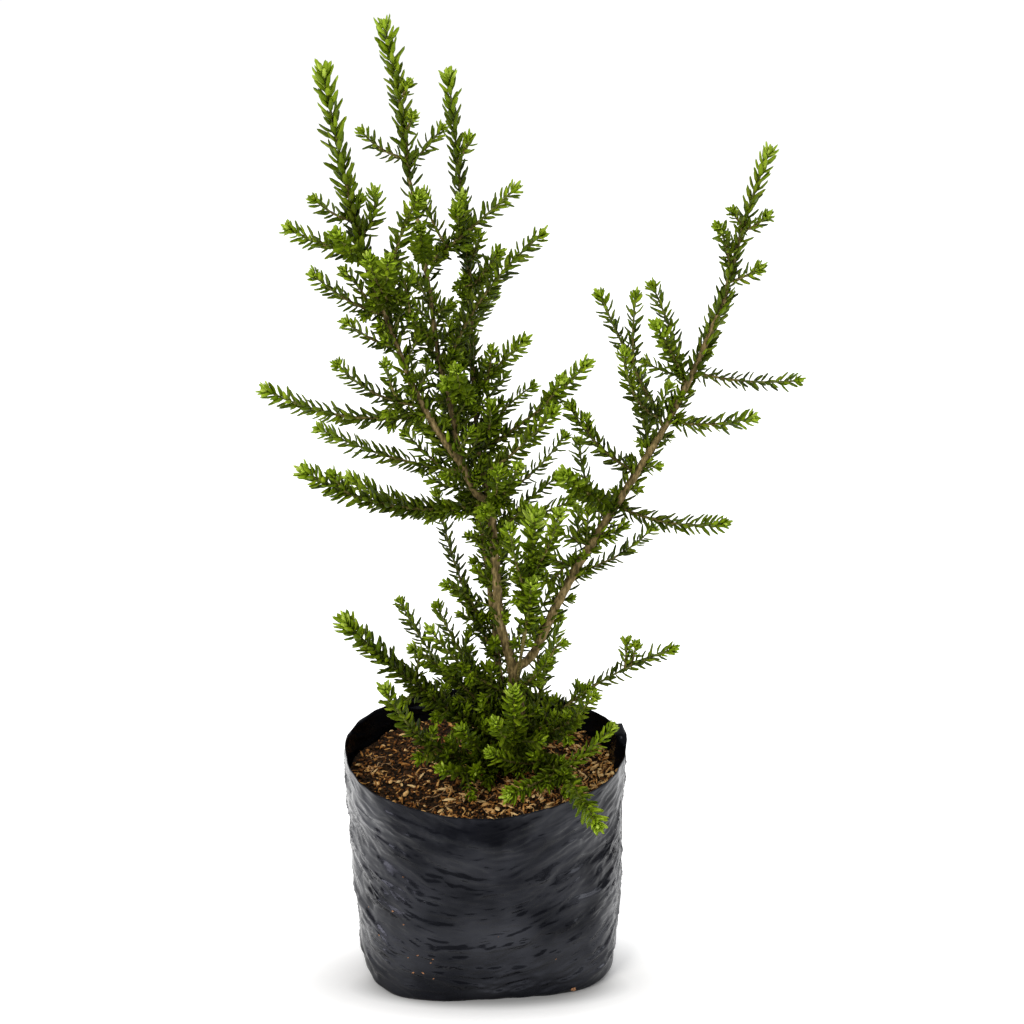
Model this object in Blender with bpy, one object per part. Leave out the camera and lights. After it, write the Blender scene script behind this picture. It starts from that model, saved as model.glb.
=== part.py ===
"""A young heath-leaved shrub in a black film grow bag, with its potting mix.

The origin is the middle of the bag's flat underside, +Z is up and the
shrub's fuller side faces -Y. Sizes in the tables are millimetres.
"""
import math
import random

import bmesh
import bpy
from mathutils import Vector, noise
from mathutils.bvhtree import BVHTree

MM = 0.001
GAP = 0.3                   # between pieces that would touch
SEED = 41

# The bag, filled and standing.
BAG_HEIGHT = 120.5
BAG_FOOT_RADIUS = 71.5      # half the width of the flat underside
BAG_LOW_RADIUS = 73.0       # just above the rounded bottom edge
BAG_RIM_RADIUS = 81.0
BAG_CORNER = 7.5            # height of the rounded bottom edge
BAG_FLARE = 0.6             # below 1, most of the widening is low down
FOOT_SQUARE = 1.7           # the foot is a rounded square; 0 would be round
SQUARE_TOP = 80.0           # from this height up the bag is round
FOOT_TURN = 6.0             # degrees that the square is turned
BAG_WALL = 1.2
BAG_FLOOR = 6.0             # top of the film's folded bottom
BAG_WAVE = 0.9              # how far the film bows in and out
RIM_WAVE = 1.3
FLAP_ANGLE = 9.0            # the folded tab that stands up on the rim
FLAP_RISE = 5.5
FLAP_HALF = 9.0             # degrees from its middle to where it ends
BAG_SIDES = 40

# The potting mix inside it.
MIX_INSET = BAG_WALL + GAP + 0.9    # the film's walls aren't flat between their corners
MIX_LEVEL = 103.0
MIX_BUMP = 1.6
PLANT_FOOT = (18.0, 15.0)   # where the stems come up
LEVEL_PATCH = 16.0          # the mix is level this far round them

# Each limb: the stations of its centre line, and the radius at each of a few even
# steps along it. The first of the trunk's radii is its root flare.
LIMBS = {
    "trunk": ([(21, 12, 103.3), (20, 12, 135), (17, 11, 154), (16, 10, 165)],
              (5.6, 4.1, 3.7, 3.5, 3.3)),
    "left_stem": ([(16, 10, 165), (9, 8, 195), (7, 6, 220), (5, 3, 253), (3, 1, 268),
                   (-5, -1, 278), (-12, -5, 295)], (2.9, 2.7, 2.2)),
    "right_stem": ([(16, 10, 165), (27, 11, 174), (39, 13, 200), (53, 15, 228), (75, 18, 265),
                    (101, 21, 310), (116, 22, 343), (130, 24, 379)], (2.8, 2.4, 1.4)),
    "rear_stem": ([(13, 24, 103.3), (9, 23, 150), (5, 18, 192), (0, 11, 240), (-4, 10, 265)],
                  (2.4, 1.8, 1.2)),
    "leader_left": ([(-12, -5, 295), (-25, -11, 317), (-37, -16, 343), (-49, -21, 379),
                     (-57, -24, 403), (-63, -26, 420)], (2.2, 1.6, 1.1)),
    "leader_middle": ([(-12, -5, 295), (-17, 1, 323), (-23, 5, 347), (-28, 9, 384),
                       (-35, 11, 431), (-38, 12, 446)], (2.0, 1.4, 1.0)),
    "leader_right": ([(3, 1, 268), (-3, 15, 301), (-6, 24, 341), (-7, 30, 385), (-8, 31, 393)],
                     (1.8, 1.3, 1.0)),
}
LIMB_SIDES = 8
LIMB_STEP = 14.0

# The leafy shoots. One that springs from a limb is a mass of its own; one that
# springs from another shoot belongs to that shoot's mass.
# name, springs from, mm along it, heading and rise of its tip in degrees,
# length in mm, sag as a share of the length (minus bows upward), vigour
SHOOTS = [
    ("left_spire", "leader_left", 125, 196, 79, 108, 0.01, 1.15),
    ("middle_spire", "leader_middle", 155, 180, 81.5, 85, -0.02, 1.10),
    ("rear_spire", "leader_right", 128, 158, 84, 110, 0.00, 1.00),
    ("right_spire", "right_stem", 250, 6, 75, 85, -0.02, 1.00),
    ("left_spire_a", "left_spire", 26, 220, 33, 32, 0.06, 0.85),
    ("left_spire_b", "left_spire", 7, 200, 25, 46, 0.03, 1.00),
    ("left_spire_c", "left_spire", 7, 250, 32, 41, 0.06, 1.00),
    ("left_spire_d", "left_spire", 17, 45, 68, 27, 0.20, 1.15),
    ("left_spire_e", "left_spire", 30, 40, 61, 12, 0.06, 0.85),
    ("middle_spire_a", "middle_spire", 43, 325, 60, 14, 0.06, 0.70),
    ("middle_spire_b", "middle_spire", 26, 300, 48, 17, 0.06, 0.80),
    ("middle_spire_c", "middle_spire", 12, 205, 35, 33, 0.09, 0.80),
    ("middle_spire_d", "middle_spire", 9, 40, 37, 31, 0.05, 0.85),
    ("rear_spire_a", "rear_spire", 61, 325, 63, 19, 0.06, 0.90),
    ("rear_spire_b", "rear_spire", 15, 265, 56, 42, 0.06, 1.00),
    ("rear_spire_c", "rear_spire", 8, 260, 50, 49, 0.06, 0.95),
    ("rear_spire_d", "rear_spire", 7, 290, 50, 28, 0.14, 0.80),
    ("right_spire_a", "right_spire", 38, 315, 36, 23, 0.06, 0.80),
    ("right_spire_b", "right_spire", 41, 230, 45, 17, 0.06, 0.75),
    ("right_spire_c", "right_spire", 14, 245, 54, 39, -0.09, 0.95),
    ("right_spire_d", "right_spire", 9, 320, 31, 26, 0.03, 0.90),
    ("left_spray_1", "leader_left", 98, 305, 63, 80, -0.08, 1.10),
    ("left_spray_1a", "left_spray_1", 7, 275, 42, 53, 0.06, 1.00),
    ("left_spray_1b", "left_spray_1a", 11, 255, 46, 41, 0.06, 1.00),
    ("left_spray_2", "leader_left", 98, 210, 35, 52, 0.06, 0.90),
    ("left_spray_2a", "left_spray_2", 7, 215, 54, 33, -0.04, 0.85),
    ("left_spray_3", "leader_left", 78, 210, 33, 38, 0.05, 0.85),
    ("left_spray_4", "leader_left", 42, 210, 33, 61, 0.09, 0.90),
    ("left_spray_4a", "left_spray_4", 15, 255, 54, 37, 0.06, 0.80),
    ("left_spray_5", "leader_left", 36, 190, 13, 90, 0.09, 1.15),
    ("left_spray_6", "left_stem", 131, 170, 14, 86, 0.05, 1.05),
    ("left_spray_6a", "left_spray_6", 11, 185, 47, 33, 0.04, 0.90),
    ("left_spray_7", "left_stem", 106, 200, 18, 110, 0.10, 1.15),
    ("left_spray_7a", "left_spray_7", 81, 230, 52, 22, 0.06, 0.90),
    ("left_spray_7b", "left_spray_7", 19, 184, 20, 63, 0.09, 1.05),
    ("middle_spray_1", "leader_middle", 113, 270, 33, 53, 0.06, 1.15),
    ("middle_spray_2", "leader_middle", 109, 350, 42, 68, 0.01, 1.00),
    ("middle_spray_2a", "middle_spray_2", 16, 155, 64, 34, 0.06, 0.90),
    ("middle_spray_3", "leader_middle", 48, 350, 56, 100, -0.07, 1.05),
    ("middle_spray_4", "leader_middle", 69, 250, 34, 44, 0.06, 0.90),
    ("middle_spray_4a", "middle_spray_4", 44, 115, 42, 31, -0.20, 0.80),
    ("rear_spray_1", "leader_right", 120, 305, 44, 40, 0.01, 1.00),
    ("rear_spray_1a", "rear_spray_1", 7, 225, 2, 16, 0.06, 0.80),
    ("rear_spray_2", "leader_right", 62, 330, 48, 50, -0.02, 1.10),
    ("rear_spray_2a", "rear_spray_2", 14, 285, 66, 23, 0.06, 0.90),
    ("rear_spray_3", "leader_right", 51, 250, 35, 56, -0.07, 1.00),
    ("rear_spray_3a", "rear_spray_3", 22, 265, 35, 52, 0.06, 1.00),
    ("rear_spray_4", "leader_right", 34, 25, 41, 47, -0.08, 0.85),
    ("rear_spray_4a", "rear_spray_4", 7, 280, 56, 32, 0.21, 0.95),
    ("rear_spray_5", "leader_right", 31, 340, 43, 86, 0.04, 1.05),
    ("rear_spray_5a", "rear_spray_5", 45, 310, 52, 28, 0.06, 1.10),
    ("inner_spray_1", "left_stem", 124, 330, 44, 75, 0.05, 1.10),
    ("inner_spray_2", "left_stem", 106, 25, 36, 60, 0.07, 0.80),
    ("inner_spray_3", "left_stem", 104, 295, 45, 54, 0.06, 0.95),
    ("inner_spray_3a", "inner_spray_3", 7, 275, 46, 46, 0.06, 0.95),
    ("inner_spray_3b", "inner_spray_3", 7, 260, 16, 38, 0.06, 0.90),
    ("inner_spray_4", "left_stem", 87, 30, 32, 51, -0.03, 0.90),
    ("inner_spray_4a", "inner_spray_4", 7, 320, 45, 25, 0.06, 0.90),
    ("inner_spray_4b", "inner_spray_4", 11, 12, 14, 40, 0.06, 1.10),
    ("inner_spray_5", "rear_stem", 62, 180, 72, 111, 0.04, 0.85),
    ("inner_spray_5a", "inner_spray_5", 23, 225, 51, 46, -0.13, 0.85),
    ("front_spray_1", "trunk", 48, 285, 72, 133, 0.03, 1.20),
    ("front_spray_1a", "front_spray_1", 76, 250, 60, 62, 0.06, 0.90),
    ("front_spray_1b", "front_spray_1", 90, 300, 58, 58, 0.06, 1.00),
    ("front_spray_1c", "front_spray_1", 30, 280, 62, 68, 0.04, 1.00),
    ("right_spray_1", "right_stem", 201, 340, 2, 61, 0.05, 0.80),
    ("right_spray_2", "right_stem", 170, 340, 10, 51, 0.06, 1.00),
    ("right_spray_3", "right_stem", 191, 150, 68, 62, -0.04, 0.95),
    ("right_spray_3a", "right_spray_3", 7, 235, 51, 48, 0.00, 1.10),
    ("right_spray_3b", "right_spray_3", 7, 155, 14, 26, 0.06, 0.80),
    ("right_spray_4", "right_stem", 166, 195, 64, 90, 0.01, 0.85),
    ("right_spray_4a", "right_spray_4", 40, 80, 87, 43, -0.20, 0.85),
    ("right_spray_4b", "right_spray_4", 7, 230, 55, 58, 0.14, 0.95),
    ("right_spray_5", "right_stem", 114, 335, 1, 67, 0.08, 1.00),
    ("right_spray_6", "right_stem", 69, 8, 30, 53, 0.09, 0.85),
    ("right_spray_7", "right_stem", 114, 240, 32, 74, 0.03, 1.15),
    ("right_spray_8", "right_stem", 136, 200, 48, 62, 0.07, 1.05),
    ("right_spray_8a", "right_spray_8", 37, 210, 78, 15, 0.06, 0.90),
    ("right_spray_9", "right_stem", 104, 125, 58, 50, 0.14, 0.85),
    ("right_spray_9a", "right_spray_9", 7, 130, -10, 10, 0.06, 0.80),
    ("right_spray_10", "right_stem", 86, 165, 17, 25, -0.05, 1.10),
    ("right_spray_10a", "right_spray_10", 7, 90, 42, 23, 0.06, 1.00),
    ("right_spray_11", "right_stem", 72, 155, 9, 26, 0.00, 1.15),
    ("right_spray_11a", "right_spray_11", 7, 235, 9, 27, 0.25, 1.10),
    ("foot_spray_1", "trunk", 49, 320, 48, 39, 0.05, 0.90),
    ("foot_spray_1a", "foot_spray_1", 7, 350, 18, 12, 0.06, 0.90),
    ("foot_spray_1b", "foot_spray_1", 39, 345, 44, 14, -0.15, 0.80),
    ("foot_spray_2", "trunk", 10, 350, 39, 114, -0.07, 0.90),
    ("foot_spray_2a", "foot_spray_2", 82, 295, 84, 21, 0.03, 0.85),
    ("foot_spray_2b", "foot_spray_2", 86, 296, 70, 19, 0.03, 0.85),
    ("foot_spray_2c", "foot_spray_2", 9, 310, 42, 75, 0.06, 0.90),
    ("foot_spray_2d", "foot_spray_2", 9, 355, 24, 31, 0.06, 0.90),
    ("foot_spray_3", "trunk", 14, 165, 49, 111, 0.07, 0.85),
    ("foot_spray_3a", "foot_spray_3", 9, 175, 63, 92, 0.02, 0.90),
    ("foot_spray_4", "trunk", 44, 215, 45, 84, 0.06, 1.00),
    ("foot_spray_5", "trunk", 7, 200, 44, 146, 0.03, 1.15),
    ("foot_spray_5a", "foot_spray_5", 9, 190, 50, 90, -0.07, 0.90),
    ("foot_spray_6", "trunk", 2, 220, 39, 126, 0.13, 1.00),
    ("foot_spray_6a", "foot_spray_6", 9, 235, 21, 73, 0.06, 0.90),
    ("foot_spray_6b", "foot_spray_6", 9, 235, 42, 65, 0.06, 0.95),
    ("foot_spray_7", "trunk", 2, 265, 53, 94, 0.09, 1.20),
    ("foot_spray_7a", "foot_spray_7", 43, 250, 41, 48, 0.06, 0.90),
    ("foot_spray_8", "trunk", 2, 290, 9, 121, -0.11, 1.05),
    ("foot_spray_8a", "foot_spray_8", 62, 35, 25, 44, 0.08, 1.05),
    ("foot_spray_8b", "foot_spray_8", 62, 225, 0, 42, 0.03, 1.05),
    ("foot_spray_8c", "foot_spray_8", 39, 210, 25, 40, 0.09, 0.95),
    ("back_spray_1", "leader_right", 80, 95, 35, 62, 0.08, 1.00),
    ("back_spray_1a", "back_spray_1", 14, 140, 40, 38, 0.06, 0.80),
    ("back_spray_1b", "back_spray_1", 26, 50, 40, 30, 0.06, 0.90),
    ("back_spray_2", "rear_stem", 160, 112, 42, 72, 0.08, 1.00),
    ("back_spray_2a", "back_spray_2", 22, 65, 45, 42, 0.06, 0.90),
    ("back_spray_2b", "back_spray_2", 36, 155, 40, 34, 0.06, 0.90),
    ("back_spray_3", "right_stem", 150, 95, 35, 58, 0.08, 1.00),
    ("back_spray_3a", "back_spray_3", 18, 55, 40, 34, 0.06, 0.90),
    ("back_spray_4", "right_stem", 215, 72, 20, 42, 0.02, 0.90),
    ("back_spray_5", "trunk", 14, 72, 33, 92, 0.06, 1.00),
    ("back_spray_5a", "back_spray_5", 30, 120, 36, 60, 0.06, 1.00),
    ("back_spray_5b", "back_spray_5", 42, 96, 42, 40, 0.06, 0.90),
]

TWIG_FOOT, TWIG_TIP = 1.35, 0.95    # from corner to middle of a four-sided twig
TWIG_SIDES = 4
TWIG_STEP = 24.0
TWIG_SHORT = 5.0            # the closing leaves reach this far past the twig
LEAF_LENGTH = 13.5
LEAF_WIDTH = 4.8
LEAF_THICK = 0.8
LEAF_TILT = 46.0            # from the twig's line
TIP_TILT = 30.0             # the closing leaves stand steeper
PAIR_STEP = 19.5            # leaves stand in crossed pairs, one leaf to a side
FIRST_PAIR = 6.0
LEAST_APART = 0.0003        # corners nearer than this are made one
LEAF_ROOM = 0.25            # kept free round every leaf
ROOM_CELL = 16.0            # size of the cells in which neighbours are looked for
CLEAR_STEP = 0.25           # steps in which a shoot's foot is moved out of its limb


def material(name, colour, roughness):
    made = bpy.data.materials.new(name)
    made.use_nodes = True
    shader = made.node_tree.nodes["Principled BSDF"]
    shader.inputs["Base Color"].default_value = (*colour, 1.0)
    shader.inputs["Roughness"].default_value = roughness
    return made


def mesh_object(name, points, faces, look=None):
    """An object from points in millimetres, with its faces turned outward."""
    form = bmesh.new()
    corners = [form.verts.new(Vector(p) * MM) for p in points]
    for face in faces:
        form.faces.new([corners[i] for i in face])
    bmesh.ops.recalc_face_normals(form, faces=form.faces)
    mesh = bpy.data.meshes.new(name)
    form.to_mesh(mesh)
    form.free()
    if look:
        mesh.materials.append(look)
    made = bpy.data.objects.new(name, mesh)
    bpy.context.scene.collection.objects.link(made)
    return made


# lines

def smooth_line(stations, per_span=12):
    """A curve through every station (Catmull-Rom)."""
    ends = [Vector(s) for s in stations]
    ends = [2 * ends[0] - ends[1], *ends, 2 * ends[-1] - ends[-2]]
    line = []
    for a, b, c, d in zip(ends, ends[1:], ends[2:], ends[3:]):
        for k in range(per_span):
            t = k / per_span
            line.append(0.5 * (2 * b + (c - a) * t + (2 * a - 5 * b + 4 * c - d) * t * t
                               + (3 * b - a - 3 * c + d) * t ** 3))
    return line + [ends[-2]]


def bowed_line(foot, heading, rise, length, sag, count=24):
    """A shoot's centre line from its foot to its tip."""
    h, r = math.radians(heading), math.radians(rise)
    along = Vector((math.cos(r) * math.cos(h), math.cos(r) * math.sin(h), math.sin(r)))
    down = (Vector((0, 0, -1)) + along * along.z).normalized()
    tip = foot + along * length
    middle = (foot + tip) / 2 + down * (2 * sag * length)
    return [foot.lerp(middle, t).lerp(middle.lerp(tip, t), t)
            for t in (k / count for k in range(count + 1))]


def side_vectors(along):
    across = along.cross(Vector((0, 0, 1)))
    if across.length < 0.05:
        across = Vector((1, 0, 0))
    across.normalize()
    return across, along.cross(across)


class Line:
    """A centre line that knows its length, its direction and a frame that doesn't twist."""

    def __init__(self, points):
        self.points = points
        self.run = [0.0]
        for a, b in zip(points, points[1:]):
            self.run.append(self.run[-1] + (b - a).length)
        self.length = self.run[-1]
        self.ways = [(b - a).normalized() for a, b in zip(points, points[1:])]
        across, _ = side_vectors(self.ways[0])
        self.across = []
        for way in self.ways:
            across = (across - way * across.dot(way)).normalized()
            self.across.append(across)

    def at(self, s):
        """The point, the direction and the two side vectors at a length along the line."""
        s = min(max(s, 0.0), self.length)
        k = next(i for i in range(1, len(self.run)) if self.run[i] >= s - 1e-9)
        share = (s - self.run[k - 1]) / (self.run[k] - self.run[k - 1])
        way, across = self.ways[k - 1], self.across[k - 1]
        return self.points[k - 1].lerp(self.points[k], share), way, across, way.cross(across)

    def ring(self, s, radius, sides):
        centre, _, across, over = self.at(s)
        return [centre + radius * (math.cos(a) * across + math.sin(a) * over)
                for a in (2 * math.pi * k / sides for k in range(sides))]


def tube(line, start, end, radius_at, sides, step):
    """Points and faces of a closed tapering tube along a line, from one length to another."""
    count = max(1, round((end - start) / step))
    points, faces = [], []
    for k in range(count + 1):
        points += line.ring(start + (end - start) * k / count, radius_at(k / count), sides)
    for k in range(count):
        for j in range(sides):
            a, b = k * sides + j, k * sides + (j + 1) % sides
            faces.append((a, b, b + sides, a + sides))
    faces.append(tuple(range(sides)))
    faces.append(tuple(range(count * sides, (count + 1) * sides)))
    return points, faces


def stepped(values):
    """A radius that runs evenly through the values given."""
    def at(share):
        place = min(share, 1.0) * (len(values) - 1)
        k = min(int(place), len(values) - 2)
        return values[k] + (values[k + 1] - values[k]) * (place - k)
    return at


# bag and mix

def bag_radius(angle, z):
    """The outer radius of the filled bag at an angle and a height."""
    if z < BAG_CORNER:
        t = 1 - z / BAG_CORNER
        plain = BAG_FOOT_RADIUS + (BAG_LOW_RADIUS - BAG_FOOT_RADIUS) * math.sqrt(1 - t * t)
    else:
        share = min(1.0, (z - BAG_CORNER) / (BAG_HEIGHT - BAG_CORNER))
        plain = BAG_LOW_RADIUS + (BAG_RIM_RADIUS - BAG_LOW_RADIUS) * share ** BAG_FLARE
    power = 2 + FOOT_SQUARE * max(0.0, 1 - z / SQUARE_TOP)
    turned = angle - math.radians(FOOT_TURN)
    plain *= (abs(math.cos(turned)) ** power + abs(math.sin(turned)) ** power) ** (-1 / power)
    bow = 0.6 * math.sin(3 * angle + 0.8) + 0.4 * math.sin(7 * angle + z / 19)
    return plain + BAG_WAVE * bow * min(1.0, z / 30)


def rim_height(angle):
    away = abs(math.degrees(angle) - FLAP_ANGLE)
    flap = FLAP_RISE * min(1.0, max(0.0, 2.2 * (1 - away / FLAP_HALF)))
    return BAG_HEIGHT + RIM_WAVE * math.sin(2 * angle + 2.2) * 0.7 + 0.5 * math.sin(5 * angle) + flap


ANGLES = [2 * math.pi * k / BAG_SIDES for k in range(BAG_SIDES)]
OUTER_LEVELS = (0, 1, 3.5, 10, 25, 45, 70, 100)
INNER_LEVELS = (100, 70, 45, 25, 10, BAG_FLOOR)


def stacked(rings, caps=True):
    """Faces that join rings of equal counts, with a cap on the first and the last."""
    n = len(rings[0])
    points = [p for one in rings for p in one]
    faces = []
    for k in range(len(rings) - 1):
        for j in range(n):
            a, b = k * n + j, k * n + (j + 1) % n
            faces.append((a, b, b + n, a + n))
    if caps:
        faces.append(tuple(range(n)))
        faces.append(tuple(range((len(rings) - 1) * n, len(rings) * n)))
    return points, faces


def bag_ring(z_of, inset):
    made = []
    for a in ANGLES:
        z = z_of(a)
        r = bag_radius(a, z) - inset
        made.append((r * math.cos(a), r * math.sin(a), z))
    return made


def make_bag(look):
    rings = [bag_ring(lambda a, z=z: z, 0.0) for z in OUTER_LEVELS]
    rings.append(bag_ring(rim_height, 0.0))
    rings.append(bag_ring(rim_height, BAG_WALL))
    rings += [bag_ring(lambda a, z=z: z, BAG_WALL) for z in INNER_LEVELS]
    points, faces = stacked(rings)
    return mesh_object("grow_bag", points, faces, look)


def mix_height(x, y):
    """Uneven, but level round the stems' feet."""
    bump = noise.noise(Vector((x / 21, y / 21, 3.0))) * 1.6 + noise.noise(Vector((x / 9, y / 9, 7.0)))
    near = (Vector((x, y)) - Vector(PLANT_FOOT)).length
    return MIX_LEVEL + MIX_BUMP * bump * min(1.0, max(0.0, (near - LEVEL_PATCH) / 14))


def make_mix(look):
    rings = [bag_ring(lambda a: BAG_FLOOR + GAP, MIX_INSET + GAP)]
    rings += [bag_ring(lambda a, z=z: z, MIX_INSET) for z in (10, 25, 45, 70)]
    edge = bag_ring(lambda a: MIX_LEVEL - 4, MIX_INSET)
    rings.append([(x, y, mix_height(x, y) - 1.0) for x, y, _ in edge])
    for share in (0.86, 0.64, 0.42, 0.2):
        rings.append([(x * share, y * share, mix_height(x * share, y * share)) for x, y, _ in edge])
    points, faces = stacked(rings)
    return mesh_object("potting_mix", points, faces, look)


# limbs

def tree_of(made):
    """A search tree in millimetres over an object's faces."""
    points = [v.co / MM for v in made.data.vertices]
    return BVHTree.FromPolygons(points, [tuple(p.vertices) for p in made.data.polygons])


def is_clear(point, tree, gap):
    spot, normal, _, distance = tree.find_nearest(point)
    return distance >= gap and (point - spot).dot(normal) > 0


def clear_start(line, radius, sides, trees, gap=GAP + 0.1):
    """The length along a line where a tube's end first stands clear of the limbs."""
    s = 0.0
    while s < line.length * 0.6:
        if all(is_clear(p, tree, gap) for p in [line.at(s)[0], *line.ring(s, radius, sides)]
               for tree in trees):
            return s
        s += CLEAR_STEP
    return s


def make_limbs(look):
    lines, made, trees = {}, {}, {}
    for name, (stations, radii) in LIMBS.items():
        line = Line(smooth_line(stations))
        at_foot = name in ("trunk", "rear_stem")
        start = 0.0 if at_foot else clear_start(line, radii[0], LIMB_SIDES, list(trees.values()))
        points, faces = tube(line, start, line.length, stepped(radii), LIMB_SIDES, LIMB_STEP)
        if at_foot:
            # The foot is cut flat, level with the mix.
            level = line.points[0].z
            points[:LIMB_SIDES] = [Vector((p.x, p.y, level)) for p in points[:LIMB_SIDES]]
        made[name] = mesh_object(name, points, faces, look)
        made[name].data.shade_smooth()
        lines[name] = line
        trees[name] = tree_of(made[name])
    return lines, made, trees


# leafy masses

def leaf(root, way, out, length, width, thick):
    """A leaf folded along its midrib, pointed at both ends: a solid of four faces."""
    side = way.cross(out).normalized()
    belly = root + way * length * 0.5 + side.cross(way) * thick
    points = [root, belly + side * width / 2, belly - side * width / 2, root + way * length]
    return points, [(0, 1, 2), (0, 2, 3), (0, 3, 1), (1, 3, 2)]


def swollen(points, by):
    """The same small solid grown outward, to test for room round it."""
    middle = sum(points, Vector()) / len(points)
    made = []
    for p in points:
        way = p - middle
        made.append(p + way.normalized() * by * 2)
    return made


class Room:
    """Which spaces are already taken, and by which mass."""

    def __init__(self, fixed):
        self.fixed, self.cells = fixed, {}

    def keys(self, points):
        low = [math.floor(min(p[i] for p in points) / ROOM_CELL) for i in range(3)]
        high = [math.floor(max(p[i] for p in points) / ROOM_CELL) for i in range(3)]
        return [(x, y, z) for x in range(low[0], high[0] + 1) for y in range(low[1], high[1] + 1)
                for z in range(low[2], high[2] + 1)]

    def take(self, mass, points, faces):
        tree = BVHTree.FromPolygons(points, faces)
        for key in self.keys(points):
            self.cells.setdefault(key, []).append((mass, tree))

    def free(self, mass, points, faces, wide):
        grown = swollen(points, wide)
        tree = BVHTree.FromPolygons(grown, faces)
        for other in self.fixed:
            if tree.overlap(other):
                return False
        seen = set()
        for key in self.keys(grown):
            for owner, other in self.cells.get(key, ()):
                if owner != mass and id(other) not in seen:
                    seen.add(id(other))
                    if tree.overlap(other):
                        return False
        return True


def pieces_of_tube(points, sides):
    """A tube's spans as small closed solids, for the room test."""
    spans = len(points) // sides - 1
    for k in range(spans):
        part = points[k * sides:(k + 2) * sides]
        walls = [(j, (j + 1) % sides, (j + 1) % sides + sides, j + sides) for j in range(sides)]
        yield part, walls + [tuple(range(sides)), tuple(range(sides, 2 * sides))]


def plan_shoots(lines, trees):
    """Every shoot's line, where its twig starts on it, and the mass it belongs to."""
    plan = {}
    for name, parent, at, heading, rise, length, sag, vigour in SHOOTS:
        base = lines[parent] if parent in lines else plan[parent]["line"]
        line = Line(bowed_line(base.at(at)[0], heading, rise, length, sag))
        own = parent in lines
        start = clear_start(line, TWIG_FOOT, TWIG_SIDES, trees) if own else 0.0
        plan[name] = {"line": line, "start": start, "vigour": vigour,
                      "mass": name if own else plan[parent]["mass"]}
    return plan


def twig_of(shoot):
    narrow = min(1.0, 0.75 + 0.25 * shoot["vigour"])
    line = shoot["line"]
    return tube(line, shoot["start"], line.length - TWIG_SHORT,
                lambda t: narrow * (TWIG_FOOT + (TWIG_TIP - TWIG_FOOT) * t), TWIG_SIDES, TWIG_STEP)


def leaves_of(name, shoot, draw):
    """Crossed pairs up the twig and a closing tuft at its tip."""
    line, size = shoot["line"], shoot["vigour"]
    last = line.length - TWIG_SHORT - 1.5
    s = min(last, shoot["start"] + FIRST_PAIR + draw.uniform(0, 3))
    turn = math.pi / 4
    while True:
        closing = s > last - PAIR_STEP * 0.4
        centre, along, across, over = line.at(s)
        grown = size * (0.86 if closing else 0.92 + 0.12 * math.sin(math.pi * s / line.length))
        for half in (0, math.pi):
            a = turn + half + draw.uniform(-0.1, 0.1)
            out = math.cos(a) * across + math.sin(a) * over
            tilt = math.radians((TIP_TILT if closing else LEAF_TILT) + draw.uniform(-7, 7))
            way = math.cos(tilt) * along + math.sin(tilt) * out
            length = LEAF_LENGTH * grown * draw.uniform(0.92, 1.08)
            yield leaf(centre - way * 0.35, way, out, length, LEAF_WIDTH * grown, LEAF_THICK)
        turn += math.pi / 2
        if closing:
            break
        s = min(s + PAIR_STEP * draw.uniform(0.93, 1.07), last)


def largest_body(made):
    """Drops loose scraps and sealed hollows, and leaves triangles."""
    form = bmesh.new()
    form.from_mesh(made.data)
    bmesh.ops.triangulate(form, faces=form.faces)
    form.verts.ensure_lookup_table()
    seen, bodies = set(), []
    for vert in form.verts:
        if vert.index in seen:
            continue
        body, front = [], [vert]
        seen.add(vert.index)
        while front:
            here = front.pop()
            body.append(here)
            for edge in here.link_edges:
                there = edge.other_vert(here)
                if there.index not in seen:
                    seen.add(there.index)
                    front.append(there)
        bodies.append(body)
    bodies.sort(key=len, reverse=True)
    scraps = [v for body in bodies[1:] for v in body]
    bmesh.ops.delete(form, geom=scraps, context="VERTS")
    bmesh.ops.remove_doubles(form, verts=form.verts, dist=LEAST_APART * MM)
    form.to_mesh(made.data)
    form.free()
    return len(bodies) - 1


def fuse(base, others):
    """Joins the others to the base in one union and removes them."""
    group = bpy.data.collections.new("to_join")
    bpy.context.scene.collection.children.link(group)
    for other in others:
        bpy.context.scene.collection.objects.unlink(other)
        group.objects.link(other)
    join = base.modifiers.new("join", "BOOLEAN")
    join.operation, join.solver = "UNION", "EXACT"
    join.operand_type, join.collection = "COLLECTION", group
    graph = bpy.context.evaluated_depsgraph_get()
    fused = bpy.data.meshes.new_from_object(base.evaluated_get(graph))
    base.modifiers.remove(join)
    base.data = fused
    for other in others:
        bpy.data.objects.remove(other)
    bpy.data.collections.remove(group)


def is_sound(made):
    """Whether every edge has two faces."""
    form = bmesh.new()
    form.from_mesh(made.data)
    closed = all(edge.is_manifold for edge in form.edges)
    form.free()
    return closed


def make_mass(name, twigs, leaves, look):
    """One mass in one solid. Where a union comes out unsound, the leaves move a hair and it is
    made again; after two such tries the mass loses its last leaves."""
    for attempt in range(8):
        shift = 0.06 * attempt
        kept = leaves[:len(leaves) - max(0, attempt - 2)]
        base = mesh_object(name, *twigs[0], look)
        parts = [mesh_object("twig", *twig) for twig in twigs[1:]]
        for points, faces in kept:
            way = (points[3] - points[0]).normalized() * shift
            parts.append(mesh_object("leaf", [p + way for p in points], faces))
        if parts:
            fuse(base, parts)
        largest_body(base)
        if is_sound(base):
            return base
        bpy.data.objects.remove(base)
    raise RuntimeError(f"{name} can't be joined")


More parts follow.
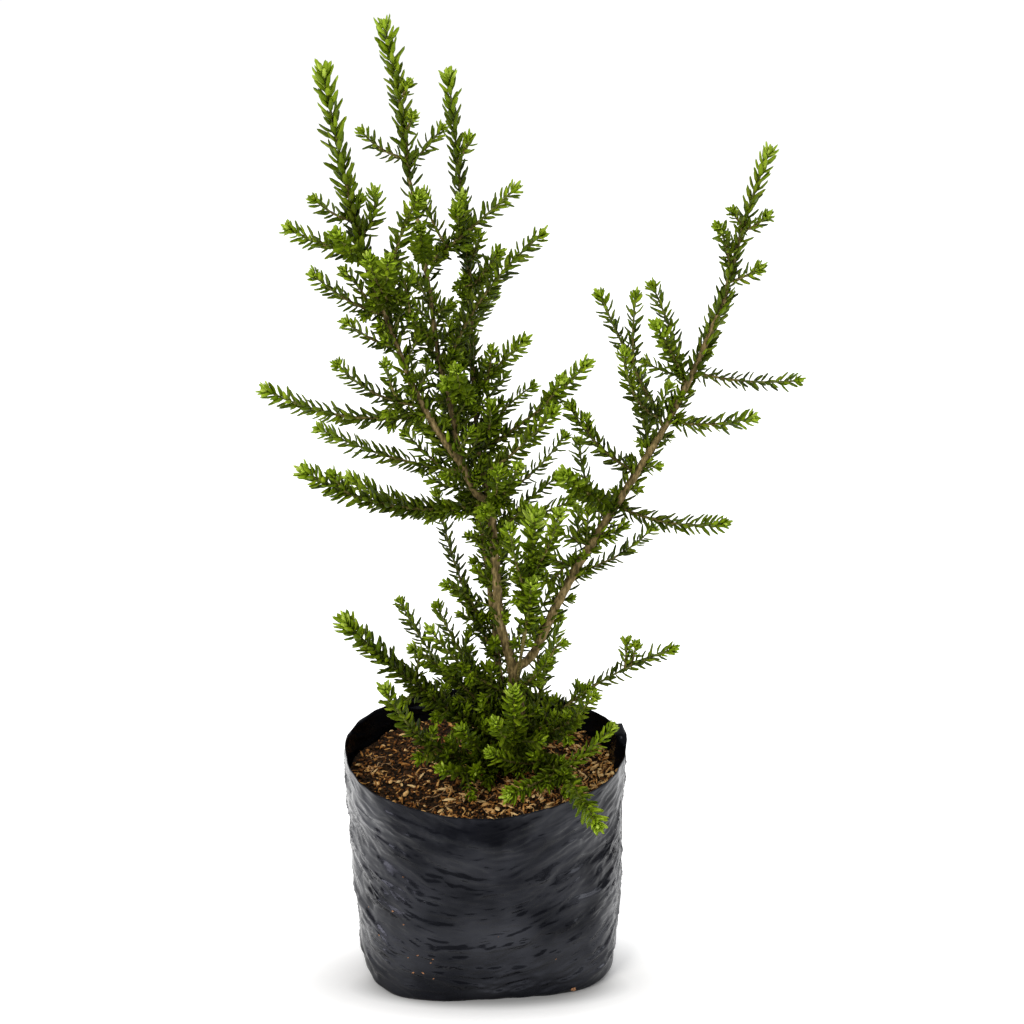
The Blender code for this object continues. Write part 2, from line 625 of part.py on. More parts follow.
def make_masses(lines, trees, fixed, look):
    plan = plan_shoots(lines, trees)
    room = Room(fixed)
    twigs = {}
    for name, shoot in plan.items():
        twigs[name] = twig_of(shoot)
        for points, faces in pieces_of_tube(twigs[name][0], TWIG_SIDES):
            room.take(shoot["mass"], points, faces)
    kept = {}
    count = skipped = 0
    for number, (name, shoot) in enumerate(plan.items()):
        draw = random.Random(SEED * 1000 + number)
        for points, faces in leaves_of(name, shoot, draw):
            if room.free(shoot["mass"], points, faces, LEAF_ROOM):
                room.take(shoot["mass"], points, faces)
                kept.setdefault(shoot["mass"], []).append((points, faces))
                count += 1
            else:
                skipped += 1
    made = {}
    for mass in dict.fromkeys(shoot["mass"] for shoot in plan.values()):
        own = [twigs[name] for name in plan if plan[name]["mass"] == mass]
        made[mass] = make_mass(mass, own, kept.get(mass, []), look)
    print(f"leaves {count}, skipped {skipped}, masses {len(made)}")
    return made


def main():
    for old in list(bpy.data.objects):
        bpy.data.objects.remove(old)
    film = material("black_film", (0.012, 0.014, 0.019), 0.32)
    bark_mix = material("potting_mix", (0.09, 0.045, 0.022), 0.95)
    bark = material("bark", (0.19, 0.13, 0.095), 0.85)
    green = material("foliage", (0.075, 0.16, 0.022), 0.5)
    bag = make_bag(film)
    mix = make_mix(bark_mix)
    lines, limbs, trees = make_limbs(bark)
    fixed = [tree_of(bag), tree_of(mix), *trees.values()]
    masses = make_masses(lines, list(trees.values()), fixed, green)
    total = 0
    for made in [bag, mix, *limbs.values(), *masses.values()]:
        made.data.calc_loop_triangles()
        total += len(made.data.loop_triangles)
    print(f"objects {2 + len(limbs) + len(masses)}, triangles {total}")


main()
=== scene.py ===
# %% [markdown]
# # A young heath-leaved shrub in its black grow bag
# The real thing is a nursery plant about half a metre tall: thin woody stems, some hundred
# leafy shoots with narrow leaves in crossed pairs, and a bag of black film full of bark mix.
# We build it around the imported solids, which give every part its place. Those solids are
# plain, so each one is replaced here by a piece with the true detail, grown by the same rule.
# Sizes in this lesson are millimetres, and turn into Blender's metres only in the mesh helper.

# %% Load the frame
import random
from math import asin, atan2, cos, degrees, exp, hypot, pi, radians, sin, sqrt

import bpy
import numpy as np
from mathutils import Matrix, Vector, noise


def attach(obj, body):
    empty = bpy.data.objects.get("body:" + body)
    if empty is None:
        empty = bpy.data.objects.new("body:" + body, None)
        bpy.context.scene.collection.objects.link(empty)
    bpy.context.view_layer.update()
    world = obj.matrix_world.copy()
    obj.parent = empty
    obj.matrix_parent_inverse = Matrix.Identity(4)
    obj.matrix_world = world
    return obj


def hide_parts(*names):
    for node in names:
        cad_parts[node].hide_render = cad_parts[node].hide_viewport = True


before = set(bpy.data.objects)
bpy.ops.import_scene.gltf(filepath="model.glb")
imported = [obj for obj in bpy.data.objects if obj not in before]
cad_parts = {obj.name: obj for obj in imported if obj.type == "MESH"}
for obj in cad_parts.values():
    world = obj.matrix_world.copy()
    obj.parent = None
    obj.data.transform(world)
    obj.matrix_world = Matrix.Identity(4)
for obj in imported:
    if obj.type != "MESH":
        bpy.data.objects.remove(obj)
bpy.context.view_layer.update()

MM = 0.001
SCENE = bpy.context.scene

# %% [markdown]
# ## Camera
# The picture looks down at the plant a little, from the front, with a long lens, so that the
# bag's rim is a flat oval and its sides are nearly upright. We keep the camera as four plain
# values, an aim, a distance, a pitch and a lens, because each can be changed on its own.

# %% Camera
AIM = Vector((0.0155, 0.0, 0.265))
AWAY = 1.25
PITCH = radians(21.25)
LENS = 80.3

lens = bpy.data.cameras.new("camera")
lens.lens = LENS
lens.sensor_width = 36.0
camera = bpy.data.objects.new("camera", lens)
camera.location = AIM - Vector((0, cos(PITCH), -sin(PITCH))) * AWAY
camera.rotation_euler = (pi / 2 - PITCH, 0, 0)
SCENE.collection.objects.link(camera)
SCENE.camera = camera
print("camera height mm", round(camera.location.z / MM))

# %% [markdown]
# ## Light
# A plant like this is shot on a white sweep under big soft lamps. One large lamp above the
# front left shapes the leaves, a weaker one fills from the right, and one overhead brightens
# the tips. Two low ones at the sides draw the sheen down the flanks of the black film, which
# shows nothing but what it reflects, and one behind lifts the far leaves. Large lamps give soft
# shadow edges; a small one would make every leaf cast a hard line. The colour transform is the
# plain one, so that white stays white.

# %% Lamps and world
def lamp(name, place, aim, size, power, tint=(1.0, 1.0, 1.0)):
    made = bpy.data.lights.new(name, "AREA")
    made.shape = "SQUARE"
    made.size = size
    made.energy = power
    made.color = tint
    held = bpy.data.objects.new(name, made)
    held.location = place
    held.rotation_euler = (Vector(aim) - Vector(place)).to_track_quat("-Z", "Y").to_euler()
    SCENE.collection.objects.link(held)


PLANT_MIDDLE = (0.0, 0.0, 0.24)
lamp("key", (-0.95, -1.15, 1.55), PLANT_MIDDLE, 0.8, 20.0, (1.0, 0.985, 0.95))
lamp("side", (-1.35, -0.55, 0.42), (0.0, 0.0, 0.10), 0.5, 5.0, (1.0, 0.965, 1.03))
lamp("other_side", (1.35, -0.35, 0.42), (0.0, 0.0, 0.09), 0.5, 3.5)
lamp("fill", (1.35, -0.95, 0.75), PLANT_MIDDLE, 1.0, 3.5)
lamp("top", (0.1, 0.25, 2.6), PLANT_MIDDLE, 1.3, 25.0)
lamp("back", (0.7, 1.4, 1.1), PLANT_MIDDLE, 0.9, 4.0)

world = bpy.data.worlds.new("studio")
SCENE.world = world
world.use_nodes = True
world.node_tree.nodes["Background"].inputs["Color"].default_value = (1.0, 1.0, 1.0, 1.0)
world.node_tree.nodes["Background"].inputs["Strength"].default_value = 0.32
SCENE.view_settings.view_transform = "Standard"
print("lamps placed")

# %% [markdown]
# ## Meshes and finishes
# Leaves, chips and crumbs number in the thousands. Making each as an object would be slow, so
# a helper takes whole arrays of corners and faces and writes one mesh in a single step.
# A finish is a Principled shader fed by noise: the colour runs between a few tones, and the
# same noise lifts the surface a little, so that light breaks up as on the real thing.

# %% Helpers for meshes
def rough(x, y, z):
    """Smooth noise from -1 to 1."""
    return noise.noise(Vector((x, y, z)))


def clamped(share):
    return min(1.0, max(0.0, share))


def piece_of(name, points, faces, look, smooth=True):
    """One mesh object from corners in millimetres and rows of face indices. A triangle's
    last index is -1."""
    faces = np.asarray(faces, dtype=np.int32).reshape(-1, 4)
    mesh = bpy.data.meshes.new(name)
    mesh.vertices.add(len(points))
    mesh.vertices.foreach_set("co", (np.asarray(points, dtype=np.float64) * MM).ravel())
    counts = 3 + (faces[:, 3] >= 0)
    loops = faces.ravel()[faces.ravel() >= 0]
    mesh.loops.add(len(loops))
    mesh.loops.foreach_set("vertex_index", loops)
    mesh.polygons.add(len(faces))
    mesh.polygons.foreach_set("loop_start", np.concatenate(([0], np.cumsum(counts)[:-1])))
    mesh.update(calc_edges=True)
    mesh.validate()
    if smooth:
        mesh.shade_smooth()
    mesh.materials.append(look)
    made = bpy.data.objects.new(name, mesh)
    SCENE.collection.objects.link(made)
    triangles = int((counts - 2).sum())
    print(f"{name}: {len(points)} corners, {triangles} triangles")
    return made


def joined(parts):
    """Several (points, faces) in one."""
    points, faces, base = [], [], 0
    for own, rows in parts:
        rows = np.asarray(rows, dtype=np.int64).reshape(-1, 4)
        points.append(np.asarray(own, dtype=float))
        faces.append(np.where(rows >= 0, rows + base, -1))
        base += len(own)
    return np.concatenate(points), np.concatenate(faces)


def ring_walls(rings, sides):
    """Faces between rings of corners that follow each other."""
    k, j = np.meshgrid(np.arange(rings - 1), np.arange(sides), indexing="ij")
    a, b = k * sides + j, k * sides + (j + 1) % sides
    return np.stack([a, b, b + sides, a + sides], axis=-1).reshape(-1, 4)


def closed(points, sides, ends):
    """Rings of corners with walls between them, and a fan at each end round a middle corner."""
    rings = len(points) // sides
    last, hub = (rings - 1) * sides, rings * sides
    fans = [(hub, (j + 1) % sides, j, -1) for j in range(sides)]
    fans += [(hub + 1, last + j, last + (j + 1) % sides, -1) for j in range(sides)]
    return (np.array([tuple(p) for p in (*points, *ends)], dtype=float),
            np.concatenate([ring_walls(rings, sides), np.array(fans)]))


def turned(points, faces):
    """The same form with every face turned over, so that it looks outward."""
    four = faces[:, 3:] >= 0
    return points, np.where(four, faces[:, [0, 3, 2, 1]], faces[:, [0, 2, 1, 3]])


def copies(form, spots, frames, sizes, bend, level=0.0):
    """Many copies of a small form in one mesh. frames: the directions of its length, width and
    height, one row a copy. sizes: its three sizes. A bend lifts the ends more than the middle."""
    corners, faces = form
    x, y, z = (corners[None, :, i, None] for i in range(3))
    aim, side, up = (ways[:, None] for ways in frames)
    length, width, thick, bend = (values[:, None, None] for values in (*sizes, bend))
    points = (spots[:, None] + aim * x * length + side * y * width
              + up * (z * thick + bend * length * (x * x - level)))
    starts = (np.arange(len(spots)) * len(corners))[:, None, None]
    return points.reshape(-1, 3), np.where(faces >= 0, faces + starts, -1).reshape(-1, 4)


def on_plant(piece, slot, *solids):
    """The piece belongs to the plant's one body and takes the place of the solids named."""
    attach(piece, "root")
    if solids:
        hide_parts(*solids)


# %% Helpers for finishes
def new_finish(name, roughness, specular=0.5):
    look = bpy.data.materials.new(name)
    look.use_nodes = True
    shader = look.node_tree.nodes["Principled BSDF"]
    shader.inputs["Roughness"].default_value = roughness
    shader.inputs["Specular IOR Level"].default_value = specular
    return look, look.node_tree, shader


def place(tree, kind, **settings):
    """A node with its settings: its own properties, and else the values of its inputs."""
    node = tree.nodes.new(kind)
    for key, value in settings.items():
        if key in node.bl_rna.properties:
            setattr(node, key, value)
        else:
            node.inputs[key.replace("_", " ")].default_value = value
    return node


def spotted(tree, size_mm, detail=3.0, stretch=(1, 1, 1)):
    """Noise with spots of about a size, pulled out along an axis where asked."""
    at = place(tree, "ShaderNodeTexCoord")
    fit = place(tree, "ShaderNodeMapping", Scale=tuple(1000.0 / size_mm / s for s in stretch))
    spots = place(tree, "ShaderNodeTexNoise", Scale=1.0, Detail=detail)
    tree.links.new(at.outputs["Object"], fit.inputs["Vector"])
    tree.links.new(fit.outputs["Vector"], spots.inputs["Vector"])
    return spots.outputs["Fac"]


def tones(tree, source, stops):
    """A colour ramp: stops are (place, colour)."""
    ramp = place(tree, "ShaderNodeValToRGB")
    ends = ramp.color_ramp.elements
    while len(ends) < len(stops):
        ends.new(0.5)
    for end, (at, colour) in zip(ends, stops):
        end.position = at
        end.color = (*colour, 1.0)
    tree.links.new(source, ramp.inputs["Fac"])
    return ramp.outputs["Color"]


def ranged(tree, source, **limits):
    """A value moved from one range into another."""
    node = place(tree, "ShaderNodeMapRange", **limits)
    tree.links.new(source, node.inputs["Value"])
    return node.outputs["Result"]


def worked(tree, operation, *values):
    """What a maths node makes of its values; each is a socket or a number."""
    node = place(tree, "ShaderNodeMath", operation=operation)
    for end, value in zip(node.inputs, values):
        if isinstance(value, float):
            end.default_value = value
        else:
            tree.links.new(value, end)
    return node.outputs[0]


def raise_by(tree, shader, source, depth_mm, strength=1.0):
    bump = place(tree, "ShaderNodeBump", Strength=strength, Distance=depth_mm * MM)
    tree.links.new(source, bump.inputs["Height"])
    tree.links.new(bump.outputs["Normal"], shader.inputs["Normal"])


def srgb(red, green, blue):
    """A colour as seen on a screen, turned into the light values that Blender mixes."""
    return tuple(c / 255 / 12.92 if c <= 10 else ((c / 255 + 0.055) / 1.055) ** 2.4
                 for c in (red, green, blue))


def grained(name, roughness, specular, size_mm, detail, stops, relief=None, stretch=(1, 1, 1),
            shares=None):
    """A finish whose tones and relief (depth in mm, strength) follow one noise. Its stops are
    (place, screen colour). Where loose bits differ from each other, shares says how far the
    tone follows the noise and how far it follows the bit."""
    look, tree, shader = new_finish(name, roughness, specular)
    grain = tone = spotted(tree, size_mm, detail, stretch)
    if shares:
        own = place(tree, "ShaderNodeNewGeometry").outputs["Random Per Island"]
        tone = worked(tree, "MULTIPLY_ADD", own, shares[1],
                      worked(tree, "MULTIPLY", grain, shares[0]))
    tree.links.new(tones(tree, tone, [(at, srgb(*colour)) for at, colour in stops]),
                   shader.inputs["Base Color"])
    if relief:
        raise_by(tree, shader, grain, *relief)
    return look


# %% [markdown]
# ## Floor
# The real floor is a white sweep with no edge. A very large pale plane does the same from
# every side. It is given light of its own, as the sweep is lit apart from the plant. That light
# and the floor's paleness fade in an oval before the bag's foot: a painted shadow of the bag,
# which keeps the lamps off there. A floor that glowed evenly would leave the bag floating on white.

# %% Floor
FLOOR_HALF = 14000.0
look, tree, shader = new_finish("sweep", 0.9, 0.1)
raise_by(tree, shader, spotted(tree, 4.0, 2.0), 0.05, 0.2)
shader.inputs["Emission Color"].default_value = (1.0, 1.0, 1.0, 1.0)
# Painted shadow: an oval before the bag's foot where the floor is darker and glows less.
PAINTED_SHADOW_MIDDLE = (0.003, -0.058)
PAINTED_SHADOW_WIDE, PAINTED_SHADOW_DEEP = 0.120, 0.037      # half width and half depth in m
at = place(tree, "ShaderNodeTexCoord")
fit = place(tree, "ShaderNodeMapping",
            Location=(-PAINTED_SHADOW_MIDDLE[0] / PAINTED_SHADOW_WIDE / 2, -PAINTED_SHADOW_MIDDLE[1] / PAINTED_SHADOW_DEEP / 2, 0.0),
            Scale=(1 / PAINTED_SHADOW_WIDE / 2, 1 / PAINTED_SHADOW_DEEP / 2, 0.0))
away = place(tree, "ShaderNodeVectorMath", operation="LENGTH")
tree.links.new(at.outputs["Object"], fit.inputs["Vector"])
tree.links.new(fit.outputs["Vector"], away.inputs[0])


def by_painted_shadow(stops):
    """A grey that changes outward from the painted shadow's middle; its edge is at 1."""
    return tones(tree, away.outputs["Value"], [(at / 2, (grey, grey, grey)) for at, grey in stops])


# Inside the painted shadow the floor's colour darkens and its own light fades out.
tree.links.new(by_painted_shadow([(0.42, 0.36), (0.50, 0.50), (0.60, 0.78), (0.68, 0.91)]),
               shader.inputs["Base Color"])
tree.links.new(by_painted_shadow([(0.58, 0.0), (0.70, 0.07), (0.85, 0.17), (1.00, 0.26), (1.20, 0.39),
                        (1.70, 0.68)]), shader.inputs["Emission Strength"])
corners = [(-FLOOR_HALF, -FLOOR_HALF, 0), (FLOOR_HALF, -FLOOR_HALF, 0),
           (FLOOR_HALF, FLOOR_HALF, 0), (-FLOOR_HALF, FLOOR_HALF, 0)]
floor = piece_of("floor", corners, [(0, 1, 2, 3)], look, smooth=False)

# %% [markdown]
# ## Centre lines
# Every stem and shoot follows a centre line. A stem bends where it was cut back or where it
# leans for light, so its line goes through a few given stations. A shoot is simpler: a
# heading, a rise, a length and a sag are enough, and make it easy to turn one shoot alone.

# %% Smooth and bowed lines
def smooth_line(stations, per_span=12):
    """A curve through every station (Catmull-Rom)."""
    ends = [Vector(s) for s in stations]
    ends = [2 * ends[0] - ends[1], *ends, 2 * ends[-1] - ends[-2]]
    line = []
    for a, b, c, d in zip(ends, ends[1:], ends[2:], ends[3:]):
        for k in range(per_span):
            t = k / per_span
            line.append(0.5 * (2 * b + (c - a) * t + (2 * a - 5 * b + 4 * c - d) * t * t
                               + (3 * b - a - 3 * c + d) * t ** 3))
    return line + [ends[-2]]


def bowed_line(foot, heading, rise, length, sag, count=24):
    h, r = radians(heading), radians(rise)
    along = Vector((cos(r) * cos(h), cos(r) * sin(h), sin(r)))
    down = (Vector((0, 0, -1)) + along * along.z).normalized()
    tip = foot + along * length
    middle = (foot + tip) / 2 + down * (2 * sag * length)
    return [foot.lerp(middle, t).lerp(middle.lerp(tip, t), t)
            for t in (k / count for k in range(count + 1))]


class Line:
    """A centre line that knows its length, its direction and a frame that doesn't twist."""

    def __init__(self, points):
        self.points = points
        self.run = [0.0]
        for a, b in zip(points, points[1:]):
            self.run.append(self.run[-1] + (b - a).length)
        self.length = self.run[-1]
        self.ways = [(b - a).normalized() for a, b in zip(points, points[1:])]
        across = self.ways[0].cross(Vector((0, 0, 1)))
        if across.length < 0.05:
            across = Vector((1, 0, 0))
        self.across = []
        for way in self.ways:
            across = (across - way * across.dot(way)).normalized()
            self.across.append(across)

    def at(self, s):
        """The point, the direction and the two side vectors at a length along the line."""
        s = min(max(s, 0.0), self.length)
        k = next(i for i in range(1, len(self.run)) if self.run[i] >= s - 1e-9)
        share = (s - self.run[k - 1]) / (self.run[k] - self.run[k - 1])
        way, across = self.ways[k - 1], self.across[k - 1]
        return self.points[k - 1].lerp(self.points[k], share), way, across, way.cross(across)


def evenly(start, end, step):
    """Lengths from start to end, about a step apart."""
    count = max(2, round((end - start) / step))
    return [start + (end - start) * k / count for k in range(count + 1)]


def tube(line, lengths, sides, radius_at):
    """A closed tube with a ring at each length. radius_at is asked with the ring's number, its
    length along the line and the angle round it."""
    points = []
    for k, s in enumerate(lengths):
        centre, way, across, over = line.at(s)
        centre = centre + way * (s - min(max(s, 0), line.length))
        for a in (2 * pi * j / sides for j in range(sides)):
            out = cos(a) * across + sin(a) * over
            points.append(centre + out * radius_at(k, s, a))
    middles = [sum(ring, Vector()) / sides for ring in (points[:sides], points[-sides:])]
    return closed(points, sides, middles)


def stepped(values):
    """A value that runs evenly through those given, by a share from 0 to 1."""
    def at(share):
        spot = clamped(share) * (len(values) - 1)
        k = min(int(spot), len(values) - 2)
        return values[k] + (values[k + 1] - values[k]) * (spot - k)
    return at


# %% [markdown]
# ## Stems
# The stems of such a shrub are a few millimetres thick, with grey-brown bark that has fine
# lengthwise cracks, pale flakes and a pair of small scars where each old leaf sat. A tapered
# tube alone looks like wire. So each ring of the tube is pushed in and out by noise that is
# stretched along the stem, and the scars are added as small swellings in crossed pairs.

# %% Tables of the stems
# stations of the centre line in mm, then radii in mm at even steps from foot to end
LIMBS = {
    "trunk": ([(21, 12, 103.3), (20, 12, 135), (17, 11, 154), (16, 10, 165)],
              (5.6, 4.1, 3.7, 3.5, 3.3)),
    "left_stem": ([(16, 10, 165), (9, 8, 195), (7, 6, 220), (5, 3, 253), (3, 1, 268),
                   (-5, -1, 278), (-12, -5, 295)], (2.9, 2.7, 2.2)),
    "right_stem": ([(16, 10, 165), (27, 11, 174), (39, 13, 200), (53, 15, 228), (75, 18, 265),
                    (101, 21, 310), (116, 22, 343), (130, 24, 379)], (2.8, 2.4, 1.4)),
    "rear_stem": ([(13, 24, 103.3), (9, 23, 150), (5, 18, 192), (0, 11, 240), (-4, 10, 265)],
                  (2.4, 1.8, 1.2)),
    "leader_left": ([(-12, -5, 295), (-25, -11, 317), (-37, -16, 343), (-49, -21, 379),
                     (-57, -24, 403), (-63, -26, 420)], (2.2, 1.6, 1.1)),
    "leader_middle": ([(-12, -5, 295), (-17, 1, 323), (-23, 5, 347), (-28, 9, 384),
                       (-35, 11, 431), (-38, 12, 446)], (2.0, 1.4, 1.0)),
    "leader_right": ([(3, 1, 268), (-3, 15, 301), (-6, 24, 341), (-7, 30, 385), (-8, 31, 393)],
                     (1.8, 1.3, 1.0)),
}
LIMB_LINES = {name: Line(smooth_line(stations)) for name, (stations, radii) in LIMBS.items()}
LIMB_RADII = {name: stepped(radii) for name, (stations, radii) in LIMBS.items()}
for name, line in LIMB_LINES.items():
    print(f"{name}: {line.length:.0f} mm long")

# %% Bark relief
LIMB_SIDES = 26
LIMB_STEP = 0.9
CRACK_DEPTH = 0.30
SCAR_STEP = 4.6
SCAR_RISE = 0.42
SUNK = 3.0                     # a stem's foot goes this far into what it springs from
STUB = 0.6                     # its end goes this far on, into what it carries


def bark_radius(along, across, plain):
    """How far out the bark is at a length and an angle, from the stem's plain radius."""
    x, y = cos(across) * plain * 0.9, sin(across) * plain * 0.9
    cracks = 1 - abs(rough(x * 1.3 + 7, y * 1.3 + 3, along * 0.208 + 1)) * 2.2
    lumps = rough(x * 0.4, y * 0.4, along * 0.09 + 11)
    pair = round(along / SCAR_STEP)
    facing = pair % 2 * pi / 2
    turn = (across - facing + pi / 2) % pi - pi / 2
    off = along - pair * SCAR_STEP
    scar = exp(-(turn * plain / 0.9) ** 2 - (off / 0.75) ** 2)
    push = -CRACK_DEPTH * max(0.0, cracks) + 0.25 * lumps + SCAR_RISE * scar - 0.1
    return plain + push * min(1, plain / 2.4)


# %% Stems with their bark
BARK = grained("bark", 0.85, 0.3, 1.5, 5.0, [
    (0.25, (54, 44, 24)), (0.45, (104, 89, 52)), (0.60, (143, 122, 78)), (0.78, (178, 160, 124))],
    (0.35, 0.7), (1, 1, 3.0))
for name, line in LIMB_LINES.items():
    plain_at = LIMB_RADII[name]
    skin = tube(line, evenly(-SUNK, line.length + STUB, LIMB_STEP), LIMB_SIDES,
                lambda _, s, a: bark_radius(s, a, plain_at(s / line.length)))
    on_plant(piece_of(name + "_bark", *skin, BARK), "bark", name)

# %% [markdown]
# ## Leafy shoots
# Some hundred and twenty shoots carry the leaves. Each is one row of a table, in the words a
# gardener might use: what it springs from and how far along, where it points, how steeply it
# rises, how long it is, how much it sags, and how vigorous it is. A vigorous shoot has larger
# leaves that stand closer, a weak one has small leaves with twig showing between them.

